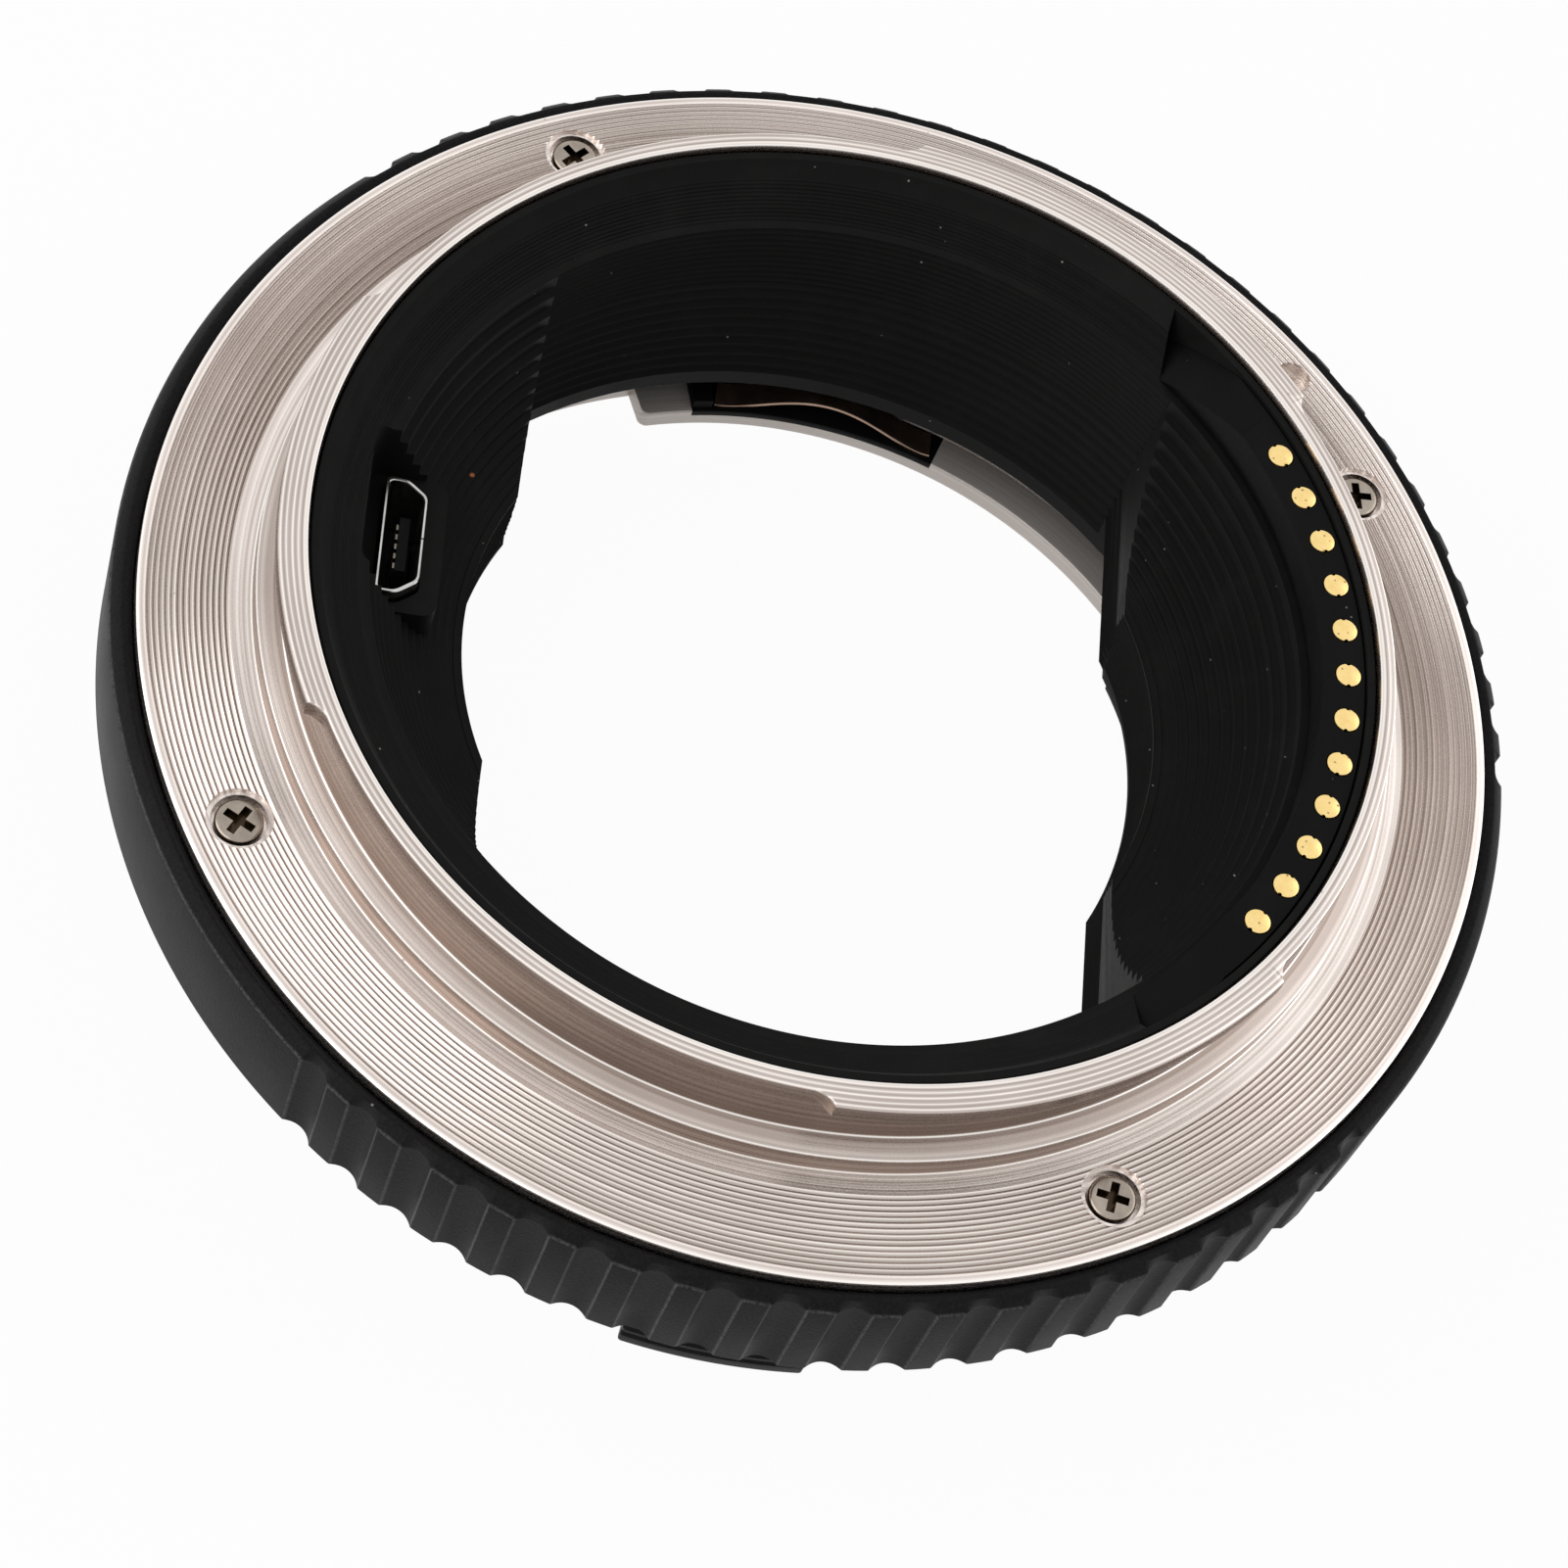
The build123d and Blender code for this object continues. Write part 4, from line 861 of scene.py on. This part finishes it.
def light_baffle():
    """Outer shell with the window's walls and the pocket's skin, less the room, pocket and window."""
    shell = [
        (16, 11.9), (21.4, 12.02), (24.2, 13.1), (26.6, 15.6), (27.9, 19.75), (skirt_bore, 19.75),
        (skirt_bore, baffle_flange_under), (baffle_flange, baffle_flange_under), (baffle_flange, plate_under),
        (baffle_radius, plate_under), (baffle_radius, baffle_top - 0.05), (baffle_radius - 0.06, baffle_top),
        (16, baffle_top),
    ]
    baffle = plain_ring("light_baffle", shell)
    tube = [(16, liner_top), (throat_outer, liner_top), (throat_outer, ledge - 0.1), (16, ledge - 0.1)]
    walls = plain_ring("walls", tube)
    side = window_half + wall
    flats = [(-side, 0), (side, 0), (side, 30), (-side, 30)]
    combine(walls, [prism("flats", flats, -45, 45, True)], "INTERSECT")
    round_part = [(16, liner_top), (dish_radius + wall, liner_top), (dish_radius + wall, 16), (16, 16)]
    skin = beside_socket(rounded(box_outline(pocket_depth + 2, pocket_width + 2), 1.2))
    tools = [walls, plain_ring("bulge", round_part), prism("skin", skin, pocket_foot, ledge - 0.1)]
    combine(baffle, tools, "UNION")
    combine(baffle, [dish_room()])
    pocket = beside_socket(rounded(box_outline(pocket_depth, pocket_width), 1.1))
    combine(baffle, [prism("base", pocket, pocket_foot, pocket_floor)], "UNION")
    beyond = [(-60, ledge), (0.05 - block_foot, ledge), (0.05 - block_foot, 30), (-60, 30)]
    seat = combine(hole(funnel_mouth, ledge, 30, 0, 0, 0, 360), [prism("beyond", beyond, -45, 45, True)], "INTERSECT")
    cutters = [
        prism("pocket", pocket, pocket_floor, 30),
        prism("socket", socket_outline(0.12), board_top, 30),
        window_cutter(),
        seat,
    ]
    return finished(combine(baffle, cutters), "baffle_plastic", ["rear_baffle"])


# Contacts

def contact_bar():
    """Ring sector cut straight at both ends, y = -end, where it slopes down to its foot."""
    ring = [
        (block_inner, ledge), (block_outer, ledge), (block_outer, block_face - 0.06),
        (block_outer - 0.06, block_face), (block_inner + 0.06, block_face), (block_inner, block_face - 0.06),
    ]
    bar = plain_ring("contact_bar", ring)
    end = [(-40, ledge - 1), (-block_foot, ledge - 1), (-block_foot, ledge + 0.1), (-block_end, block_face),
           (-block_end, 30), (-40, 30)]
    combine(bar, [prism("end", end, -45, 45, True)], "INTERSECT")
    cutters = [hole(0.79, 20.95, block_face, contact_circle, angle, 0.04) for angle in contact_angles]
    return finished(combine(bar, cutters), "contact_block_plastic", ["contact_block"])


def camera_contact(number, angle):
    """Gilt button with an eased edge and a notch on either side."""
    top = block_face + 0.05
    profile = [(0, top - 2.2), (contact_radius, top - 2.2), (contact_radius, top - 0.08),
               (contact_radius - 0.03, top - 0.02), (contact_radius - 0.1, top), (0, top)]
    button = turned_pin(f"contact_button_{number}", profile, contact_circle, angle)
    aside = math.degrees(contact_radius / contact_circle)
    cutters = [hole(0.13, 20, 24, contact_circle, angle + side, 0, 16) for side in (-aside, aside)]
    return finished(combine(button, cutters), "gilt", [f"camera_contact_{number}"])


def socket_shell():
    """Folded tube between two outlines, its mouth eased, with a seam in its narrow side."""
    outer, inner = socket_outline(), socket_outline(-0.17)
    rows = [(outer, board_top), (outer, socket_mouth - 0.05), (0.8 * outer + 0.2 * inner, socket_mouth),
            (0.2 * outer + 0.8 * inner, socket_mouth), (inner, socket_mouth - 0.05), (inner, board_top)]
    points = np.stack([np.column_stack([line, np.full(len(line), z)]) for line, z in rows], 1)
    seam = prism("seam", beside_socket(box_outline(0.8, 0.1) + [-1.1, 0]), board_top - 1, socket_mouth + 1)
    return finished(combine(loft("socket_shell", points), [seam]), "socket_steel", ["usb_shell"])


# Lens side

def lens_ring():
    """Flat ring with a collar; over each tab the inner radius drops to the tabs', with round corners."""
    inside = np.array([0, 0.02, 0.08, 0.2, 0.35, 0.5]) / math.radians(tab_radius)
    ends = np.concatenate([inside, [-0.02]])
    close = np.concatenate([tab_centres[:, None] + tab_half - ends, tab_centres[:, None] - tab_half + ends])
    angles = close_angles(close)
    away = away_from(angles, tab_centres)
    depth = np.radians(tab_half + 0.001 - away) * tab_radius
    corner = 0.5 * (1 - np.sqrt(np.clip(1 - (1 - np.clip(depth / 0.5, 0, 1)) ** 2, 0, 1)))
    on_tab = depth > 0
    inner = np.where(on_tab, tab_radius + corner, gap_radius)[:, None]
    ease = np.where(on_tab, 0.08, 0.0)[:, None]
    one = np.ones_like(inner)
    radii = np.hstack([
        inner, inner + ease, 33.1 * one, ring_radius * one, ring_radius * one, collar_radius * one,
        collar_radius * one, (collar_radius - 0.08) * one, (gap_radius + 0.08) * one, gap_radius * one,
        gap_radius * one, inner + ease, inner,
    ])
    heights = [0.08, 0, 0, 0.1, lens_plate_top, lens_plate_top, collar_top - 0.08, collar_top, collar_top,
               collar_top - 0.08, lens_plate_top, lens_plate_top, lens_plate_top - 0.08]
    ring = turned_ring("lens_ring", radii, heights, angles)
    cutters = [hole(lock_pin_hole, -1, 2, lock_pin_circle, release_angle),
               hole(mark_radius, -1, mark_depth, mark_circle, mark_angle)]
    for centre in tab_centres:
        recess = sector_outline(20, gap_radius - 0.05, centre + seat_start, centre + seat_end)
        cutters.append(prism("recess", recess, seat_low, 2))
    for angle in ring_screw_angles:
        sink = [(0, -0.1), (1.5, -0.1), (0.81, 0.6), (0.81, 2), (0, 2)]
        cutters.append(turned_pin("sink", sink, ring_screw_circle, angle))
    return finished(combine(ring, cutters), "lens_ring_metal", ["lens_mount_ring"])


def ring_screw(number, angle):
    """Countersunk screw, seen from the lens side."""
    profile = [(0, 0), (1.3, 0), (1.35, 0.03), (0.75, 0.6), (0.75, 3.8), (0, 3.8)]
    screw = turned_pin(f"ring_screw_{number}", profile, ring_screw_circle, angle)
    combine(screw, [cross(-0.2, 0.4, ring_screw_circle, angle, 23.0 * number)])
    return finished(screw, "ring_screw_nickel", [f"lens_ring_screw_{number}"])


def leaf_spring(number, centre):
    """Bowed strip with turned-up tips: height rise (1 - (y / a)^2)^2 within a of its middle, and
    0.35 (|y| - a)^2 beyond, at the distance y along its tangent."""
    length, rise, thick, flat = 14.0, 1.45, 0.2, 6.3
    y = np.linspace(-length / 2, length / 2, 71)
    bow = rise * np.clip(1 - (y / flat) ** 2, 0, None) ** 2
    height = lens_plate_top + bow + 0.35 * np.clip(np.abs(y) - flat, 0, None) ** 2
    loop = np.array([(27.33, 0), (28.97, 0), (29, 0.03), (29, 0.17), (28.97, thick), (27.33, thick),
                     (27.3, 0.17), (27.3, 0.03)])
    x = np.sqrt(loop[None, :, 0] ** 2 - y[:, None] ** 2)
    along = np.broadcast_to(y[:, None], x.shape)
    turn = math.radians(centre + leaf_offset)
    cos, sin = math.cos(turn), math.sin(turn)
    points = np.stack([x * cos - along * sin, x * sin + along * cos, height[:, None] + loop[None, :, 1]], -1)
    strip = loft(f"leaf_strip_{number}", points, closed=False)
    return finished(strip, "spring_bronze", [f"leaf_spring_{number}"])


def spring_seat(number, centre):
    """Flat plastic seat let into a tab, with a raised stop at its end."""
    start, end = centre + seat_start, centre + seat_end
    seat = prism(f"spring_seat_{number}_flat", sector_outline(27.02, gap_radius - 0.1, start + 0.05, end - 0.05),
                 seat_low, lens_plate_top)
    stop = prism("stop", sector_outline(27.25, gap_radius - 0.1, end - 2.7, end - 0.05, 12), seat_low + 0.1, 2.1)
    return finished(eased(combine(seat, [stop], "UNION")), "seat_plastic", [f"spring_seat_{number}"])


def lens_block():
    """Wide foot and narrower body, with a stepped hole for each pin."""
    foot = eased(prism("lens_block", sector_outline(22.7, 27.1, 242.3, 297.7), 2.7, floor_top), 0.1)
    body = prism("body", sector_outline(23.3, 26.5, 243.69, 296.31), floor_top - 0.5, 9.4)
    combine(foot, [body], "UNION")
    cutters = []
    for angle in pin_angles:
        cutters.append(hole(0.6, 2, 4, pin_circle, angle, 0, 32))
        cutters.append(hole(0.95, 3.4, 8.8, pin_circle, angle, 0, 32))
    return finished(combine(foot, cutters), "lens_block_plastic", ["lens_contact_block"])


def lens_pin(number, angle):
    """Gilt pin with a round tip and a collar."""
    profile = round_tip(0.55, 1.6)
    profile += [(0.55, 3.45), (0.85, 3.45), (0.85, 3.85), (0.4, 3.85), (0.4, 6.2), (0, 6.2)]
    pin = turned_pin(f"lens_pin_{number}_turned", profile, pin_circle, angle, 32)
    return finished(pin, "pin_gilt", [f"lens_contact_pin_{number}"], f"lens_pin_{number}")


def index_bead():
    profile = round_tip(mark_radius, 0.05) + [(mark_radius, mark_depth), (0, mark_depth)]
    bead = turned_pin("index_bead", profile, mark_circle, mark_angle)
    return finished(bead, "mark_red", ["index_mark"])


# Release

def release_pad():
    """Pad swept over its arc with two grooves in its face, and the stem behind it."""
    face = [(38.5, 3.4), (38.62, 3.43), (38.72, 3.5), (38.75, 3.6), (38.75, 4.24), (38.48, 4.5), (38.75, 4.76),
            (38.75, 5.04), (38.48, 5.3), (38.75, 5.56), (38.75, 6.1), (38.72, 6.2), (38.62, 6.27), (38.5, 6.3)]
    profile = np.array([(34.5, 3.4)] + face + [(34.5, 6.3)])
    half = 7.75
    angles = np.concatenate([[-half, 0.03 - half, 0.12 - half], np.linspace(0.3 - half, half - 0.3, 25),
                             [half - 0.12, half - 0.03, half]])
    inside = np.radians(half - np.abs(angles)) * 39.5
    drop = 0.2 - np.sqrt(np.clip(0.2**2 - (0.2 - np.clip(inside, 0, 0.2)) ** 2, 0, None))
    radii = np.where(profile[None, :, 0] > 35, profile[None, :, 0] - drop[:, None], profile[None, :, 0])
    pad = turned_ring("release_pad", radii, profile[:, 1], release_angle + angles, closed=False)
    stem = prism("stem", sector_outline(34.5, 35.6, release_angle - 5.5, release_angle + 5.5, 12), 6.0, bracket_foot)
    return finished(combine(pad, [stem], "UNION"), "release_black", ["release_slide"], "release")


def release_bracket():
    outline = placed(rounded(box_outline(6.9, 7.2), 0.8), 32.55, release_angle)
    plate = prism("release_bracket", outline, bracket_foot, bracket_top)
    combine(plate, [hole(1.21, 7, 9, lock_pin_circle, release_angle)])
    return finished(eased(plate), "bracket_steel", ["slide_bracket"], "release")


def release_pin():
    profile = [(0, -1.3), (0.85, -1.3), (0.95, -1.26), (1.18, -1.02), (1.2, -0.95), (1.2, bracket_top), (1.5, bracket_top),
               (1.5, 8.7), (1.2, 8.7), (1.2, 11.5), (1.1, 11.6), (0, 11.6)]
    pin = turned_pin("release_pin", profile, lock_pin_circle, release_angle)
    return finished(pin, "lock_pin_steel", ["lock_pin"], "release")


def release_coil():
    """Wire of radius w carried along a helix with closed ends: c + a (cos s, sin s), z(s)."""
    turns = np.linspace(0, 6.8, 271)
    s = turns * 2 * np.pi
    z = np.interp(turns, [0, 0.9, 5.9, 6.8], [8.5, 8.9, 13.7, 14.1])
    out = np.stack([np.cos(s), np.sin(s), np.zeros_like(s)], -1)
    j = np.linspace(0, 2 * np.pi, 12, endpoint=False)
    points = (1.75 + 0.2 * np.cos(j))[None, :, None] * out[:, None, :]
    middle = placed([(0, 0)], lock_pin_circle, release_angle)[0]
    points[:, :, :2] += middle
    points[:, :, 2] = z[:, None] + 0.2 * np.sin(j)[None, :]
    coil = finished(loft("release_coil", points, closed=False), "coil_steel", ["lock_pin_spring"])
    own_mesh(coil)
    return coil


bayonet_ring()
barrel_skin()
light_baffle()
contact_bar()
socket_shell()
lens_ring()
lens_block()
index_bead()
release_pad()
release_bracket()
release_pin()
release_coil()
for index, angle in enumerate(screw_angles):
    bayonet_screw(index + 1, angle)
for index, angle in enumerate(ring_screw_angles):
    ring_screw(index + 1, angle)
for index, centre in enumerate(tab_centres):
    leaf_spring(index + 1, centre)
    spring_seat(index + 1, centre)
for index, angle in enumerate(contact_angles):
    camera_contact(index + 1, angle)
for index, angle in enumerate(pin_angles):
    lens_pin(index + 1, angle)


# Floor, light and camera

def floor():
    """Large pale floor, a little grained. The camera and reflections see it mostly as plain white,
    which leaves the object's shadow soft and light."""
    reach = 600.0
    plate = new_piece("floor", [(-reach, -reach, floor_height), (reach, -reach, floor_height),
                                (reach, reach, floor_height), (-reach, reach, floor_height)], [[0, 1, 2, 3]])
    finish = Finish("floor_white")
    grain = finish.noise(finish.place(), 0.05, 2.0)
    material = finish.surface(
        Base_Color=finish.mixed(grain, (0.95, 0.95, 0.95), (0.96, 0.96, 0.96)),
        Roughness=0.8,
        Specular_IOR_Level=0.0,
    )
    white = finish.node("ShaderNodeEmission", {}, {"Color": (1.0, 1.0, 1.0), "Strength": 1.0})
    path = finish.node("ShaderNodeLightPath", {}, {})
    seen = finish.signal(path.outputs["Is Camera Ray"])
    seen = seen.math("MAXIMUM", finish.signal(path.outputs["Is Glossy Ray"])) * 0.96
    sockets = {0: seen, 1: finish.shader.outputs[0], 2: white.outputs[0]}
    mix = finish.node("ShaderNodeMixShader", {}, sockets)
    finish.tree.links.new(mix.outputs[0], finish.tree.nodes["Material Output"].inputs["Surface"])
    plate.data.materials.append(material)


def soft_lamp(name, place, size, power):
    """Large square lamp at a place, turned to the object's middle."""
    light = bpy.data.lights.new(name, "AREA")
    light.size = size * MM
    light.energy = power
    lamp = bpy.data.objects.new(name, light)
    lamp.location = Vector(place) * MM
    lamp.rotation_euler = (Vector((0, 0, 10)) - Vector(place)).to_track_quat("-Z", "Y").to_euler()
    bpy.context.scene.collection.objects.link(lamp)


def surroundings():
    """White to the camera and in reflections, and a plain grey as light."""
    world = bpy.data.worlds.new("studio")
    world.use_nodes = True
    tree = world.node_tree
    light = tree.nodes["Background"]
    light.inputs["Color"].default_value = (1, 1, 1, 1)
    light.inputs["Strength"].default_value = 0.36
    white = tree.nodes.new("ShaderNodeBackground")
    white.inputs["Color"].default_value = (1, 1, 1, 1)
    white.inputs["Strength"].default_value = 1.0
    path = tree.nodes.new("ShaderNodeLightPath")
    seen = Signal(tree, path.outputs["Is Camera Ray"])
    for kind in ("Is Glossy Ray", "Is Transmission Ray"):
        seen = seen.math("MAXIMUM", Signal(tree, path.outputs[kind]))
    mix = tree.nodes.new("ShaderNodeMixShader")
    tree.links.new(seen.socket, mix.inputs[0])
    tree.links.new(light.outputs[0], mix.inputs[1])
    tree.links.new(white.outputs[0], mix.inputs[2])
    tree.links.new(mix.outputs[0], tree.nodes["World Output"].inputs["Surface"])
    bpy.context.scene.world = world


def camera():
    """Camera of the photograph, rolled about its own axis."""
    made = bpy.data.cameras.new("camera")
    made.lens = camera_lens
    made.sensor_width = 36.0
    made.clip_start = 0.01
    made.clip_end = 5.0
    eye = bpy.data.objects.new("camera", made)
    look = (Vector(camera_aim) - Vector(camera_place)).to_track_quat("-Z", "Y")
    eye.rotation_mode = "QUATERNION"
    eye.rotation_quaternion = look @ Quaternion((0, 0, 1), math.radians(camera_roll))
    eye.location = Vector(camera_place) * MM
    bpy.context.scene.collection.objects.link(eye)
    bpy.context.scene.camera = eye


floor()
surroundings()
camera()
soft_lamp("key", (-150, 480, 330), 700, 2.1)
soft_lamp("fill", (150, -500, 250), 600, 0.8)
bpy.context.scene.view_settings.view_transform = "Standard"
